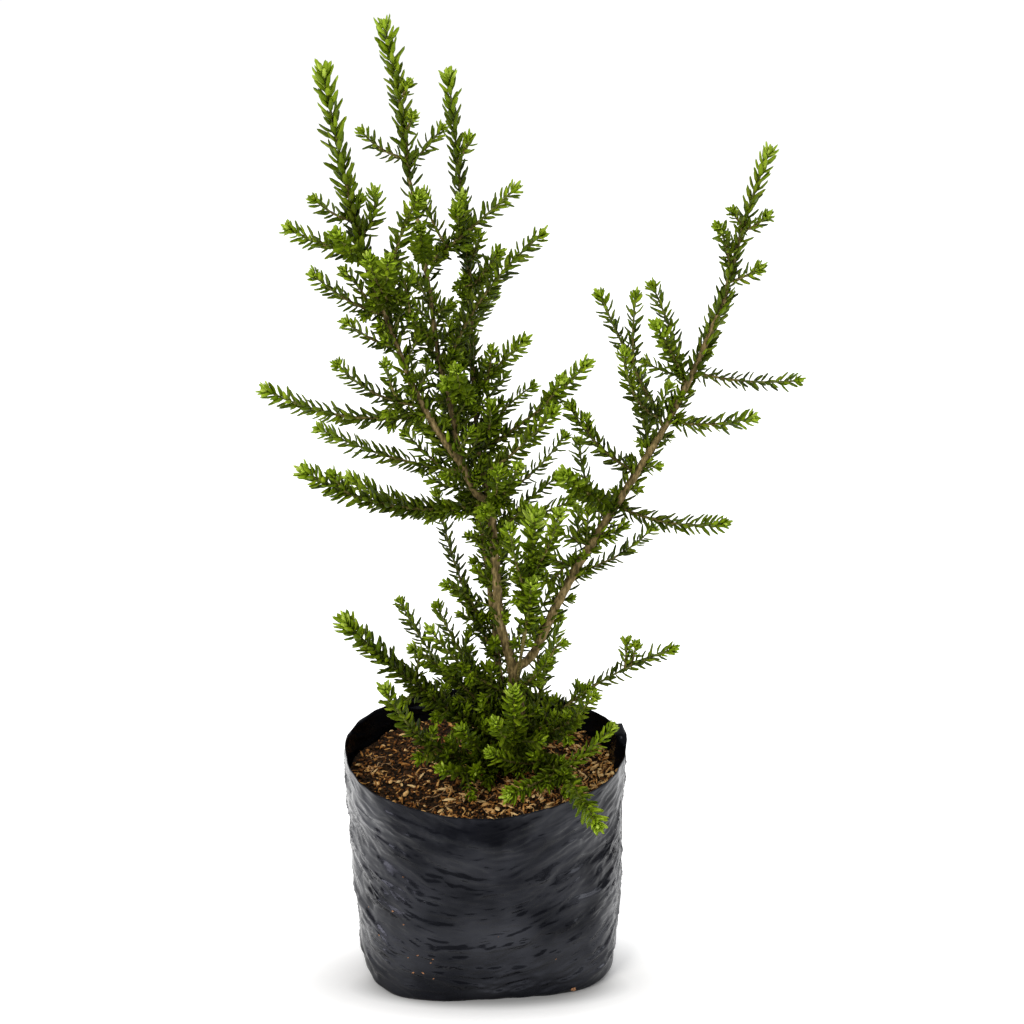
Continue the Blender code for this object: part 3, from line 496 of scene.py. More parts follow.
# %% Table of the shoots
# name, springs from, mm along it, heading and rise of its tip in degrees, length in mm, sag as
# a share of the length (minus bows upward), vigour. A row with no second name is a side shoot
# of the one that it is named after, so right_spray_3a springs from right_spray_3.
SHOOT_ROWS = [
    ("left_spire", "leader_left", 125, 196, 79, 108, 0.01, 1.15),
    ("middle_spire", "leader_middle", 155, 180, 81.5, 85, -0.02, 1.10),
    ("rear_spire", "leader_right", 128, 158, 84, 110, 0.00, 1.00),
    ("right_spire", "right_stem", 250, 6, 75, 85, -0.02, 1.00),
    ("left_spire_a", 26, 220, 33, 32, 0.06, 0.85),
    ("left_spire_b", 7, 200, 25, 46, 0.03, 1.00),
    ("left_spire_c", 7, 250, 32, 41, 0.06, 1.00),
    ("left_spire_d", 17, 45, 68, 27, 0.20, 1.15),
    ("left_spire_e", 30, 40, 61, 12, 0.06, 0.85),
    ("middle_spire_a", 43, 325, 60, 14, 0.06, 0.70),
    ("middle_spire_b", 26, 300, 48, 17, 0.06, 0.80),
    ("middle_spire_c", 12, 205, 35, 33, 0.09, 0.80),
    ("middle_spire_d", 9, 40, 37, 31, 0.05, 0.85),
    ("rear_spire_a", 61, 325, 63, 19, 0.06, 0.90),
    ("rear_spire_b", 15, 265, 56, 42, 0.06, 1.00),
    ("rear_spire_c", 8, 260, 50, 49, 0.06, 0.95),
    ("rear_spire_d", 7, 290, 50, 28, 0.14, 0.80),
    ("right_spire_a", 38, 315, 36, 23, 0.06, 0.80),
    ("right_spire_b", 41, 230, 45, 17, 0.06, 0.75),
    ("right_spire_c", 14, 245, 54, 39, -0.09, 0.95),
    ("right_spire_d", 9, 320, 31, 26, 0.03, 0.90),
    ("left_spray_1", "leader_left", 98, 305, 63, 80, -0.08, 1.10),
    ("left_spray_1a", 7, 275, 42, 53, 0.06, 1.00),
    ("left_spray_1b", "left_spray_1a", 11, 255, 46, 41, 0.06, 1.00),
    ("left_spray_2", "leader_left", 98, 210, 35, 52, 0.06, 0.90),
    ("left_spray_2a", 7, 215, 54, 33, -0.04, 0.85),
    ("left_spray_3", "leader_left", 78, 210, 33, 38, 0.05, 0.85),
    ("left_spray_4", "leader_left", 42, 210, 33, 61, 0.09, 0.90),
    ("left_spray_4a", 15, 255, 54, 37, 0.06, 0.80),
    ("left_spray_5", "leader_left", 36, 190, 13, 90, 0.09, 1.15),
    ("left_spray_6", "left_stem", 131, 170, 14, 86, 0.05, 1.05),
    ("left_spray_6a", 11, 185, 47, 33, 0.04, 0.90),
    ("left_spray_7", "left_stem", 106, 200, 18, 110, 0.10, 1.15),
    ("left_spray_7a", 81, 230, 52, 22, 0.06, 0.90),
    ("left_spray_7b", 19, 184, 20, 63, 0.09, 1.05),
    ("middle_spray_1", "leader_middle", 113, 270, 33, 53, 0.06, 1.15),
    ("middle_spray_2", "leader_middle", 109, 350, 42, 68, 0.01, 1.00),
    ("middle_spray_2a", 16, 155, 64, 34, 0.06, 0.90),
    ("middle_spray_3", "leader_middle", 48, 350, 56, 100, -0.07, 1.05),
    ("middle_spray_4", "leader_middle", 69, 250, 34, 44, 0.06, 0.90),
    ("middle_spray_4a", 44, 115, 42, 31, -0.20, 0.80),
    ("rear_spray_1", "leader_right", 120, 305, 44, 40, 0.01, 1.00),
    ("rear_spray_1a", 7, 225, 2, 16, 0.06, 0.80),
    ("rear_spray_2", "leader_right", 62, 330, 48, 50, -0.02, 1.10),
    ("rear_spray_2a", 14, 285, 66, 23, 0.06, 0.90),
    ("rear_spray_3", "leader_right", 51, 250, 35, 56, -0.07, 1.00),
    ("rear_spray_3a", 22, 265, 35, 52, 0.06, 1.00),
    ("rear_spray_4", "leader_right", 34, 25, 41, 47, -0.08, 0.85),
    ("rear_spray_4a", 7, 280, 56, 32, 0.21, 0.95),
    ("rear_spray_5", "leader_right", 31, 340, 43, 86, 0.04, 1.05),
    ("rear_spray_5a", 45, 310, 52, 28, 0.06, 1.10),
    ("inner_spray_1", "left_stem", 124, 330, 44, 75, 0.05, 1.10),
    ("inner_spray_2", "left_stem", 106, 25, 36, 60, 0.07, 0.80),
    ("inner_spray_3", "left_stem", 104, 295, 45, 54, 0.06, 0.95),
    ("inner_spray_3a", 7, 275, 46, 46, 0.06, 0.95),
    ("inner_spray_3b", 7, 260, 16, 38, 0.06, 0.90),
    ("inner_spray_4", "left_stem", 87, 30, 32, 51, -0.03, 0.90),
    ("inner_spray_4a", 7, 320, 45, 25, 0.06, 0.90),
    ("inner_spray_4b", 11, 12, 14, 40, 0.06, 1.10),
    ("inner_spray_5", "rear_stem", 62, 180, 72, 111, 0.04, 0.85),
    ("inner_spray_5a", 23, 225, 51, 46, -0.13, 0.85),
    ("front_spray_1", "trunk", 48, 285, 72, 133, 0.03, 1.20),
    ("front_spray_1a", 76, 250, 60, 62, 0.06, 0.90),
    ("front_spray_1b", 90, 300, 58, 58, 0.06, 1.00),
    ("front_spray_1c", 30, 280, 62, 68, 0.04, 1.00),
    ("right_spray_1", "right_stem", 201, 340, 2, 61, 0.05, 0.80),
    ("right_spray_2", "right_stem", 170, 340, 10, 51, 0.06, 1.00),
    ("right_spray_3", "right_stem", 191, 150, 68, 62, -0.04, 0.95),
    ("right_spray_3a", 7, 235, 51, 48, 0.00, 1.10),
    ("right_spray_3b", 7, 155, 14, 26, 0.06, 0.80),
    ("right_spray_4", "right_stem", 166, 195, 64, 90, 0.01, 0.85),
    ("right_spray_4a", 40, 80, 87, 43, -0.20, 0.85),
    ("right_spray_4b", 7, 230, 55, 58, 0.14, 0.95),
    ("right_spray_5", "right_stem", 114, 335, 1, 67, 0.08, 1.00),
    ("right_spray_6", "right_stem", 69, 8, 30, 53, 0.09, 0.85),
    ("right_spray_7", "right_stem", 114, 240, 32, 74, 0.03, 1.15),
    ("right_spray_8", "right_stem", 136, 200, 48, 62, 0.07, 1.05),
    ("right_spray_8a", 37, 210, 78, 15, 0.06, 0.90),
    ("right_spray_9", "right_stem", 104, 125, 58, 50, 0.14, 0.85),
    ("right_spray_9a", 7, 130, -10, 10, 0.06, 0.80),
    ("right_spray_10", "right_stem", 86, 165, 17, 25, -0.05, 1.10),
    ("right_spray_10a", 7, 90, 42, 23, 0.06, 1.00),
    ("right_spray_11", "right_stem", 72, 155, 9, 26, 0.00, 1.15),
    ("right_spray_11a", 7, 235, 9, 27, 0.25, 1.10),
    ("foot_spray_1", "trunk", 49, 320, 48, 39, 0.05, 0.90),
    ("foot_spray_1a", 7, 350, 18, 12, 0.06, 0.90),
    ("foot_spray_1b", 39, 345, 44, 14, -0.15, 0.80),
    ("foot_spray_2", "trunk", 10, 350, 39, 114, -0.07, 0.90),
    ("foot_spray_2a", 82, 295, 84, 21, 0.03, 0.85),
    ("foot_spray_2b", 86, 296, 70, 19, 0.03, 0.85),
    ("foot_spray_2c", 9, 310, 42, 75, 0.06, 0.90),
    ("foot_spray_2d", 9, 355, 24, 31, 0.06, 0.90),
    ("foot_spray_3", "trunk", 14, 165, 49, 111, 0.07, 0.85),
    ("foot_spray_3a", 9, 175, 63, 92, 0.02, 0.90),
    ("foot_spray_4", "trunk", 44, 215, 45, 84, 0.06, 1.00),
    ("foot_spray_5", "trunk", 7, 200, 44, 146, 0.03, 1.15),
    ("foot_spray_5a", 9, 190, 50, 90, -0.07, 0.90),
    ("foot_spray_6", "trunk", 2, 220, 39, 126, 0.13, 1.00),
    ("foot_spray_6a", 9, 235, 21, 73, 0.06, 0.90),
    ("foot_spray_6b", 9, 235, 42, 65, 0.06, 0.95),
    ("foot_spray_7", "trunk", 2, 265, 53, 94, 0.09, 1.20),
    ("foot_spray_7a", 43, 250, 41, 48, 0.06, 0.90),
    ("foot_spray_8", "trunk", 2, 290, 9, 121, -0.11, 1.05),
    ("foot_spray_8a", 62, 35, 25, 44, 0.08, 1.05),
    ("foot_spray_8b", 62, 225, 0, 42, 0.03, 1.05),
    ("foot_spray_8c", 39, 210, 25, 40, 0.09, 0.95),
    ("back_spray_1", "leader_right", 80, 95, 35, 62, 0.08, 1.00),
    ("back_spray_1a", 14, 140, 40, 38, 0.06, 0.80),
    ("back_spray_1b", 26, 50, 40, 30, 0.06, 0.90),
    ("back_spray_2", "rear_stem", 160, 112, 42, 72, 0.08, 1.00),
    ("back_spray_2a", 22, 65, 45, 42, 0.06, 0.90),
    ("back_spray_2b", 36, 155, 40, 34, 0.06, 0.90),
    ("back_spray_3", "right_stem", 150, 95, 35, 58, 0.08, 1.00),
    ("back_spray_3a", 18, 55, 40, 34, 0.06, 0.90),
    ("back_spray_4", "right_stem", 215, 72, 20, 42, 0.02, 0.90),
    ("back_spray_5", "trunk", 14, 72, 33, 92, 0.06, 1.00),
    ("back_spray_5a", 30, 120, 36, 60, 0.06, 1.00),
    ("back_spray_5b", 42, 96, 42, 40, 0.06, 0.90),
]
SHOOTS = [row if isinstance(row[1], str) else (row[0], row[0][:-1].rstrip("_"), *row[1:])
          for row in SHOOT_ROWS]
print("shoots in the table:", len(SHOOTS))

# %% Lines of the shoots
LINES, SHOOT_LINES, SHOOT_MASS = dict(LIMB_LINES), {}, {}
for name, parent, at, heading, rise, length, sag, _ in SHOOTS:
    foot = LINES[parent].at(at)[0]
    LINES[name] = SHOOT_LINES[name] = Line(bowed_line(foot, heading, rise, length, sag))
    SHOOT_MASS[name] = name if parent in LIMB_LINES else SHOOT_MASS[parent]
MASSES = list(dict.fromkeys(SHOOT_MASS.values()))
print("masses:", len(MASSES), "twig length m",
      round(sum(line.length for line in SHOOT_LINES.values()) / 1000, 1))

# %% [markdown]
# ## The bag's outline
# The bag stands on a flat underside that is nearly a square with round corners, because the
# tube of film is sealed straight across. Higher up the mix pushes it round. One function of
# angle and height says all that, and everything that must stay clear of the film asks it.

# %% The bag's outline
BAG_HEIGHT = 120.5
BAG_FOOT_RADIUS = 71.5
BAG_LOW_RADIUS = 73.0
BAG_RIM_RADIUS = 81.0
BAG_CORNER = 7.5
BAG_FLARE = 0.6
FOOT_SQUARE = 1.7              # 0 would be a round foot
SQUARE_TOP = 80.0              # from this height up the bag is round
FOOT_TURN = 6.0
BAG_WAVE = 0.9
RIM_WAVE = 1.3
FLAP_ANGLE = 9.0
FLAP_RISE = 5.5
FLAP_HALF = 9.0
MIX_LEVEL = 103.0
MIX_BUMP = 1.6
PLANT_FOOT = (18.0, 15.0)
LEVEL_PATCH = 16.0


def bag_radius(angle, z):
    """The film's outer radius at an angle and a height."""
    if z < BAG_CORNER:
        t = 1 - max(z, 0.0) / BAG_CORNER
        plain = BAG_FOOT_RADIUS + (BAG_LOW_RADIUS - BAG_FOOT_RADIUS) * sqrt(1 - t * t)
    else:
        share = min(1.0, (z - BAG_CORNER) / (BAG_HEIGHT - BAG_CORNER))
        plain = BAG_LOW_RADIUS + (BAG_RIM_RADIUS - BAG_LOW_RADIUS) * share ** BAG_FLARE
    power = 2 + FOOT_SQUARE * max(0.0, 1 - z / SQUARE_TOP)
    turned = angle - radians(FOOT_TURN)
    plain *= (abs(cos(turned)) ** power + abs(sin(turned)) ** power) ** (-1 / power)
    bow = 0.6 * sin(3 * angle + 0.8) + 0.4 * sin(7 * angle + z / 19)
    return plain + BAG_WAVE * bow * min(1.0, z / 30)


def rim_height(angle):
    away = abs((degrees(angle) - FLAP_ANGLE + 180) % 360 - 180)
    flap = FLAP_RISE * clamped(2.2 * (1 - away / FLAP_HALF))
    wave = RIM_WAVE * sin(2 * angle + 2.2) * 0.7 + 0.5 * sin(5 * angle)
    return BAG_HEIGHT + wave + flap


def mix_height(x, y):
    """Uneven, but level round the stems' feet."""
    bump = rough(x / 21, y / 21, 3.0) * 1.6 + rough(x / 9, y / 9, 7.0)
    near = hypot(x - PLANT_FOOT[0], y - PLANT_FOOT[1])
    return MIX_LEVEL + MIX_BUMP * bump * clamped((near - LEVEL_PATCH) / 14)


# %% [markdown]
# ## Short side shoots
# Where the crown is dense, the older stems also carry many short shoots that hardly show one
# by one. They are dealt out by a seeded rule: every few millimetres along a stem, turned by
# about the angle at which the leaf pairs cross, and only along the stretches that are dense.

# %% Short shoots by rule
# stem or shoot, first mm, last mm, step in mm, shortest and longest in mm
TUFTED = [
    ("leader_left", 8, 124, 3.6, 10, 28),
    ("leader_middle", 8, 104, 3.6, 10, 26),
    ("leader_right", 8, 126, 3.6, 10, 30),
    ("left_stem", 50, 138, 3.8, 10, 30),
    ("right_stem", 50, 196, 6.0, 7, 13),
    ("rear_stem", 40, 160, 5.5, 9, 26),
    ("trunk", 3, 34, 2.2, 12, 30),
]
TUFTED += [(name, 5, line.length * 0.6, 5.2, 8, 22) for name, line in SHOOT_LINES.items()
           if name.startswith("foot_spray") and line.length > 60]
TUFTED += [(name, 5, line.length * 0.28, 7.0, 6, 14) for name, line in SHOOT_LINES.items()
           if line.length > 40 and not name.startswith(("foot_spray", "right_spray"))
           and not name.endswith("_spire")]
GOLDEN_TURN = 137.5
# Openings of the crown, where one looks through it from the front: x, height and radius.
# A camera pitched down sees a thing behind the middle higher, hence the lift below.
OPENINGS = [
    (-61, 358, 10), (1, 375, 9), (-51, 339, 9), (-20, 398, 9), (-26, 427, 8), (-72, 394, 8),
    (89, 317, 8), (40, 190, 8), (71, 159, 8), (64, 172, 7), (34, 164, 6), (-13, 242, 6),
]
SEEN_LIFT = 0.39
SHOWN_STEMS = ("leader_left", "leader_middle", "left_stem", "right_stem")
SHOWN_WIDE = 2.6               # short shoots keep this far from a stem that shows behind them


def in_opening(spot):
    """Whether a spot would close an opening, or hide a stem whose bark shows."""
    height = spot.z + SEEN_LIFT * spot.y
    if any(hypot(spot.x - x, height - z) < radius for x, z, radius in OPENINGS):
        return True
    return any(hypot(spot.x - p.x, height - p.z - SEEN_LIFT * p.y) < SHOWN_WIDE
               and spot.y < p.y - 2 for stem in SHOWN_STEMS for p in LIMB_LINES[stem].points[::3])


draw = random.Random(5)
SMALL_LINES = {}
for stem, first, last, step, shortest, longest in TUFTED:
    base = LINES[stem]
    s, turn = first, draw.uniform(0, 360)
    while s < last:
        foot, way, across, over = base.at(s)
        a = radians(turn)
        out = cos(a) * across + sin(a) * over
        lean = radians(draw.uniform(34, 64))
        aim = cos(lean) * way + sin(lean) * out
        heading = degrees(atan2(aim.y, aim.x))
        rise = degrees(asin(max(-1, min(1, aim.z))))
        length = draw.uniform(shortest, longest)
        tip = foot + aim * length
        opens = in_opening(tip) or in_opening(foot.lerp(tip, 0.6))
        if not opens and (tip.z > MIX_LEVEL + 6 or foot.z > MIX_LEVEL + 30):
            SMALL_LINES[f"{stem}_tuft_{len(SMALL_LINES)}"] = Line(
                bowed_line(foot, heading, rise, length, draw.uniform(0.0, 0.08), 10))
        turn += GOLDEN_TURN + draw.uniform(-25, 25)
        s += step * draw.uniform(0.7, 1.3)
# A few thin shoots that one can pick out, in the words of the table of shoots.
for stem, at, heading, rise, length, sag in (
        ("left_stem", 15, 13, 53, 45, 0.06), ("left_stem", 8, 6, 50, 31, 0.06),
        ("left_stem", 118, 188, 18, 27, 0.05), ("left_stem", 96, 182, 40, 24, 0.05),
        ("right_stem", 91, 354, 30, 22, 0.04), ("right_spray_10", 2, 280, 83, 24, 0.04)):
    foot = LINES[stem].at(at)[0]
    SMALL_LINES[f"{stem}_thin_{at}"] = Line(bowed_line(foot, heading, rise, length, sag))
print("short shoots:", len(SMALL_LINES))

# %% [markdown]
# ## Twigs
# The twig inside each shoot is woody and tan near its foot and green and soft near its tip.
# Both are thin tubes with slight swellings all along. They are joined into two pieces,
# one for each finish, since hundreds of single objects would only slow the file down.

# %% Twig tubes
TWIG_SIDES = 8
TWIG_STEP = 1.5
TWIG_SHORT = 3.2               # the tip's leaves reach this far past the twig
TWIG_TIP = 0.42
TUFT_FOOT = 0.62
WOODY_SHARE = 0.55
KNUCKLE = 0.12


def twig_tube(line, start, end, thick, thin):
    """A tapering twig that swells a little at every other ring."""
    lengths = evenly(start, end, TWIG_STEP)
    last = len(lengths) - 1
    return tube(line, lengths, TWIG_SIDES,
                lambda k, *_: thick + (thin - thick) * (k / last) + KNUCKLE * (k % 2))


def twig_foot_radius(name, parent, at, vigour):
    """A spire carries its stem on; any other shoot is thinner than what it springs from."""
    if name.endswith("_spire"):
        line = LIMB_LINES[parent]
        return LIMB_RADII[parent](at / line.length) * 0.98
    return 0.55 + 0.34 * vigour * min(1.0, SHOOT_LINES[name].length / 70)


woody, soft = [], []
for name, parent, at, *_, vigour in SHOOTS:
    line = SHOOT_LINES[name]
    thick = twig_foot_radius(name, parent, at, vigour)
    turn_green = line.length * WOODY_SHARE
    middle = thick + (TWIG_TIP - thick) * WOODY_SHARE
    woody.append(twig_tube(line, 0.0, turn_green, thick, middle))
    soft.append(twig_tube(line, turn_green - 0.4, line.length - TWIG_SHORT, middle, TWIG_TIP))
soft += [twig_tube(line, 0.0, line.length - TWIG_SHORT, TUFT_FOOT, TWIG_TIP)
         for line in SMALL_LINES.values()]

# %% Twig finishes and pieces
TAN_WOOD = grained("twig_wood", 0.8, 0.3, 1.2, 4.0, [
    (0.3, (72, 64, 26)), (0.5, (106, 96, 46)), (0.72, (142, 130, 78))], (0.2, 0.5))
GREEN_WOOD = grained("twig_green", 0.6, 0.4, 1.6, 3.0, [
    (0.3, (74, 76, 26)), (0.5, (96, 104, 36)), (0.7, (128, 124, 60))], (0.15, 0.4))
on_plant(piece_of("woody_twigs", *joined(woody), TAN_WOOD), "bark", *MASSES)
on_plant(piece_of("green_twigs", *joined(soft), GREEN_WOOD), "foliage", *MASSES)

# %% [markdown]
# ## Leaves
# A leaf is mostly 5 to 9 mm long, narrow, blunt at the point, thick for its size, with a keel below
# and a shallow channel above, and it bends in a little towards the twig. The leaves stand in
# pairs, and each pair crosses the one before, so a shoot seen end on is a cross. A flat card
# would lose the keel that catches the light, so each leaf is a small closed solid of 24
# triangles. All the leaves of one tint are worked out together as arrays.

# %% One leaf's form
# share of the length, share of the width, where a ring of four corners stands
LEAF_RINGS = [(0.10, 0.58), (0.46, 1.0), (0.86, 0.64)]
KEEL = 0.42                    # depth of the keel, as a share of the leaf's width
CHANNEL = 0.05
EDGE = 0.06                    # its two edges stand this much higher than its ends
leaf_corners = [corner for x, w in LEAF_RINGS for corner in (
    (x, -w / 2, EDGE), (x, 0.0, -CHANNEL * w), (x, w / 2, EDGE), (x, 0.0, -KEEL * w))]
LEAF = closed(leaf_corners, 4, [(0.0, 0.0, 0.0), (1.0, 0.0, 0.0)])


def leaf_mesh(rows):
    """All the leaves of a list in one set of corners and faces."""
    root, way, up, length, width, curl = (np.array(column) for column in zip(*rows))
    return copies(LEAF, root, (way, np.cross(way, up), up), (length, width, width), curl)


# %% [markdown]
# ### Where the leaves stand
# Along a shoot the pairs are even, then crowd together in the last few millimetres, where the
# young leaves are short and stand nearly upright round the bud. The tints follow age: lime at
# the bud, fresh green below it, then green, and deep green on the old part. Each shoot also
# has a lean of its own towards the lighter or the darker tints, by how much light it gets.

# %% Leaves by rule
TIP_ZONE = 8.0
SPACING_WEAK, SPACING_STRONG = 2.25, 1.6
LENGTH_WEAK, LENGTH_STRONG = 6.2, 8.2
LEAF_SHARE = 0.32              # a leaf's width, as a share of its length
SPIRE_LEAVES = {"left_spire": 10.0, "middle_spire": 9.2, "rear_spire": 8.6, "right_spire": 8.4}
PAIR_TWIST = 0.30              # how far a pair is turned past square to the pair before
LOST = 0.03                    # share of the leaves that have dropped
SPIRE_LIGHT = 1.65             # the spires stand free and are lighter all the way down
FULL_BUD, SMALL_BUD = 18, 8    # leaves in the tuft that ends a long or a short shoot
TINTS = ("lime", "fresh", "green", "deep")
TINT_ENDS = (4.0, 12.0, 36.0)  # mm from the tip where one tint gives way to the next
LEAVES = {tint: [] for tint in TINTS}


def mixed(low, high, share):
    return low + (high - low) * clamped(share)


def tint_at(from_tip, lean, draw):
    """The tint at a distance from the tip; a lean above 1 stretches the young tints."""
    place_now = from_tip / lean * draw.uniform(0.7, 1.35)
    for tint, end in zip(TINTS, TINT_ENDS):
        if place_now < end:
            return tint
    return TINTS[-1]


def add_leaf(draw, tint, centre, frame_here, turn, tilt, length, width, sunk, curl=0.13):
    way, across, over = frame_here
    out = cos(turn) * across + sin(turn) * over
    aim = cos(tilt) * way + sin(tilt) * out
    up = sin(tilt) * way - cos(tilt) * out
    roll = draw.gauss(0, 0.30)
    up = (up * cos(roll) + aim.cross(up) * sin(roll)).normalized()
    root = centre + out * sunk
    if clear_of_bag(root, root + aim * length):
        LEAVES[tint].append((tuple(root), tuple(aim), tuple(up), length, width,
                             curl * draw.uniform(0.4, 1.6)))


def dress(line, vigour, lean, draw, first=2.0, size=1.0, long=None, bud=FULL_BUD, crowd=1.0):
    """Leaves in crossed pairs from near the foot to the tip of one shoot."""
    strong = (vigour - 0.7) / 0.4
    spacing = mixed(SPACING_WEAK, SPACING_STRONG, strong) * (1.1 if long else crowd)
    open_out = 45 if long else 55
    long = long or mixed(LENGTH_WEAK, LENGTH_STRONG, strong) * size
    end = line.length - TWIG_SHORT
    s, turn = first, draw.uniform(0, 2 * pi)
    while s < end:
        centre, way, across, over = line.at(s)
        from_tip = line.length - s
        young = max(0.0, 1 - (from_tip - TWIG_SHORT) / TIP_ZONE)
        grown = mixed(0.8, 1.0, (s + 3) / 12) * mixed(1.0, 0.74, young ** 1.5)
        for half in (0, pi):
            if draw.random() < LOST and young == 0:
                continue
            tilt = radians(mixed(open_out, 38, young) + draw.gauss(0, 7))
            tint = tint_at(from_tip - TWIG_SHORT * 0.6, lean, draw)
            length = long * grown * draw.uniform(0.86, 1.12)
            add_leaf(draw, tint, centre, (way, across, over), turn + half + draw.gauss(0, 0.14),
                     tilt, length, length * LEAF_SHARE * draw.uniform(0.88, 1.14), 0.3)
        turn += pi / 2 + PAIR_TWIST + draw.gauss(0, 0.08)
        s += spacing * mixed(1.0, 0.45, young) * draw.uniform(0.88, 1.12)
    # The bud: small leaves that stand ever steeper and close over the twig's end.
    centre, way, across, over = line.at(end)
    for k in range(bud):
        share = k / bud
        tilt = radians(8 + 52 * share + draw.gauss(0, 7))
        length = TWIG_SHORT * (1.0 + 0.8 * share) * draw.uniform(0.8, 1.1)
        tint = tint_at(0.5 + 6.0 * share, lean, draw)
        add_leaf(draw, tint, centre - way * share * 1.8, (way, across, over), k * 2.4 + turn, tilt,
                 length, length * 0.36, 0.15, 0.0)


# %% [markdown]
# ### Keeping leaves out of the film and the mix
# A leaf that pierced the bag would give the whole plant away as a pile of meshes. The bag's
# outline is a function of angle and height, so each leaf can be asked whether it crosses it.

# %% Clear of the bag
def clear_of_bag(root, tip, film=1.1):
    """Whether a leaf from root to tip stays out of the film and above the mix."""
    sides = []
    for p in (root, (root + tip) / 2, tip):
        angle = atan2(p.y, p.x)
        reach = hypot(p.x, p.y) - bag_radius(angle, p.z)
        if p.z < rim_height(angle) + 0.6:
            if abs(reach) < film:
                return False
            sides.append(reach > 0)
            if reach < 0 and p.z < mix_height(p.x, p.y) + 0.4:
                return False
    return len(set(sides)) < 2


# %% Dress every shoot
SUNLIT = {                     # shoots that catch more light, or less, than their vigour says
    "front_spray_1": 2.2, "front_spray_1a": 1.5, "front_spray_1b": 1.6, "front_spray_1c": 1.6,
    "foot_spray_7": 1.2, "right_spray_7": 1.5, "left_spire_c": 1.3,
    "left_spray_1a": 1.4, "left_spray_1b": 1.4, "right_spray_3a": 1.4, "foot_spray_8": 1.2,
    "foot_spray_8a": 1.2, "foot_spray_8b": 1.3, "foot_spray_8c": 1.3, "foot_spray_3": 0.6,
    "foot_spray_3a": 0.6, "right_spray_6": 0.6, "right_spray_1": 0.6, "right_spray_5": 0.9,
}
CROWDED = {                    # shoots with closer leaves than their vigour says
    "foot_spray_8": 0.8, "foot_spray_8a": 0.8, "foot_spray_8b": 0.8, "foot_spray_8c": 0.8,
    "foot_spray_7": 0.8, "foot_spray_7a": 0.85, "front_spray_1": 0.8, "right_spray_7": 0.85,
    "left_spray_7": 0.8, "left_spray_7b": 0.85, "front_spray_1b": 0.9, "front_spray_1c": 0.85,
    "foot_spray_5": 0.72,
}
NEAR_LEAVES = {"front_spray_1": 1.2, "front_spray_1c": 1.1, "right_spray_7": 1.1,
               "foot_spray_8": 1.1, "foot_spray_8a": 0.8, "foot_spray_5": 1.22,
               "foot_spray_6": 1.12, "left_spray_7": 1.08}
BARE_FOOT = {"front_spray_1": 62.0, "front_spray_1c": 26.0}
for number, (name, *_, vigour) in enumerate(SHOOTS):
    draw = random.Random(1000 + number)
    lean = SUNLIT.get(name, 1.0) * vigour ** 1.5 * draw.uniform(0.8, 1.2)
    lean *= SPIRE_LIGHT if name in SPIRE_LEAVES else 1.0
    first = 0.5 if name in SPIRE_LEAVES else BARE_FOOT.get(name, 2.0)
    dress(SHOOT_LINES[name], vigour, lean, draw, first, NEAR_LEAVES.get(name, 1.0),
          SPIRE_LEAVES.get(name), crowd=CROWDED.get(name, 1.0))
for number, line in enumerate(SMALL_LINES.values()):
    draw = random.Random(5000 + number)
    dress(line, draw.uniform(0.85, 1.05), draw.uniform(0.12, 0.5), draw, 1.0, 0.94, bud=SMALL_BUD,
          crowd=1.1)
print({tint: len(rows) for tint, rows in LEAVES.items()})

# %% [markdown]
# ### Leaves on the stems
# The leaders and the upper right stem also carry leaves of their own: older, larger and
# further apart, with bark between them. The lower left stem has only a few left.

# %% Leaves along the stems
# stem, first mm, last mm, spacing in mm, leaf length and width in mm, share that is left
STEM_LEAVES = [
    ("leader_left", 4, 124, 2.9, 8.6, 2.9, 0.92),
    ("leader_middle", 4, 152, 2.9, 8.2, 2.7, 0.92),
    ("leader_right", 4, 126, 2.9, 7.8, 2.5, 0.92),
    ("right_stem", 20, 250, 3.0, 8.6, 2.6, 0.92),
    ("right_stem", 168, 250, 3.0, 8.4, 2.6, 0.9),
    ("left_stem", 30, 138, 3.6, 9.0, 3.1, 0.6),
    ("trunk", 8, 60, 4.0, 8.0, 2.5, 0.45),
    ("rear_stem", 10, 160, 3.2, 8.0, 2.5, 0.9),
]
TO_VIEWER = Vector((0.0, -0.93, 0.36))
FACING, FACING_KEPT = 0.7, 0.6  # how far leaves turn to the viewer, and the share of them left
for number, (stem, first, last, spacing, long, wide, kept) in enumerate(STEM_LEAVES):
    draw = random.Random(9000 + number)
    line, radius = LIMB_LINES[stem], LIMB_RADII[stem]
    s, turn = first, 0.4 + number
    while s < last:
        centre, way, across, over = line.at(s)
        for half in (0, pi):
            out = cos(turn + half) * across + sin(turn + half) * over
            if draw.random() > (FACING_KEPT if out.dot(TO_VIEWER) > FACING else kept):
                continue
            tilt = radians(46 + draw.gauss(0, 9))
            tint = draw.choices(TINTS, (0.0, 0.08, 0.42, 0.5))[0]
            add_leaf(draw, tint, centre, (way, across, over), turn + half + draw.gauss(0, 0.2),
                     tilt, long * draw.uniform(0.8, 1.1), wide * draw.uniform(0.85, 1.1),
                     radius(s / line.length) * 0.85)
        turn += pi / 2 + draw.gauss(0, 0.06)
        s += spacing * draw.uniform(0.85, 1.15)
print("leaves in all:", sum(len(rows) for rows in LEAVES.values()))

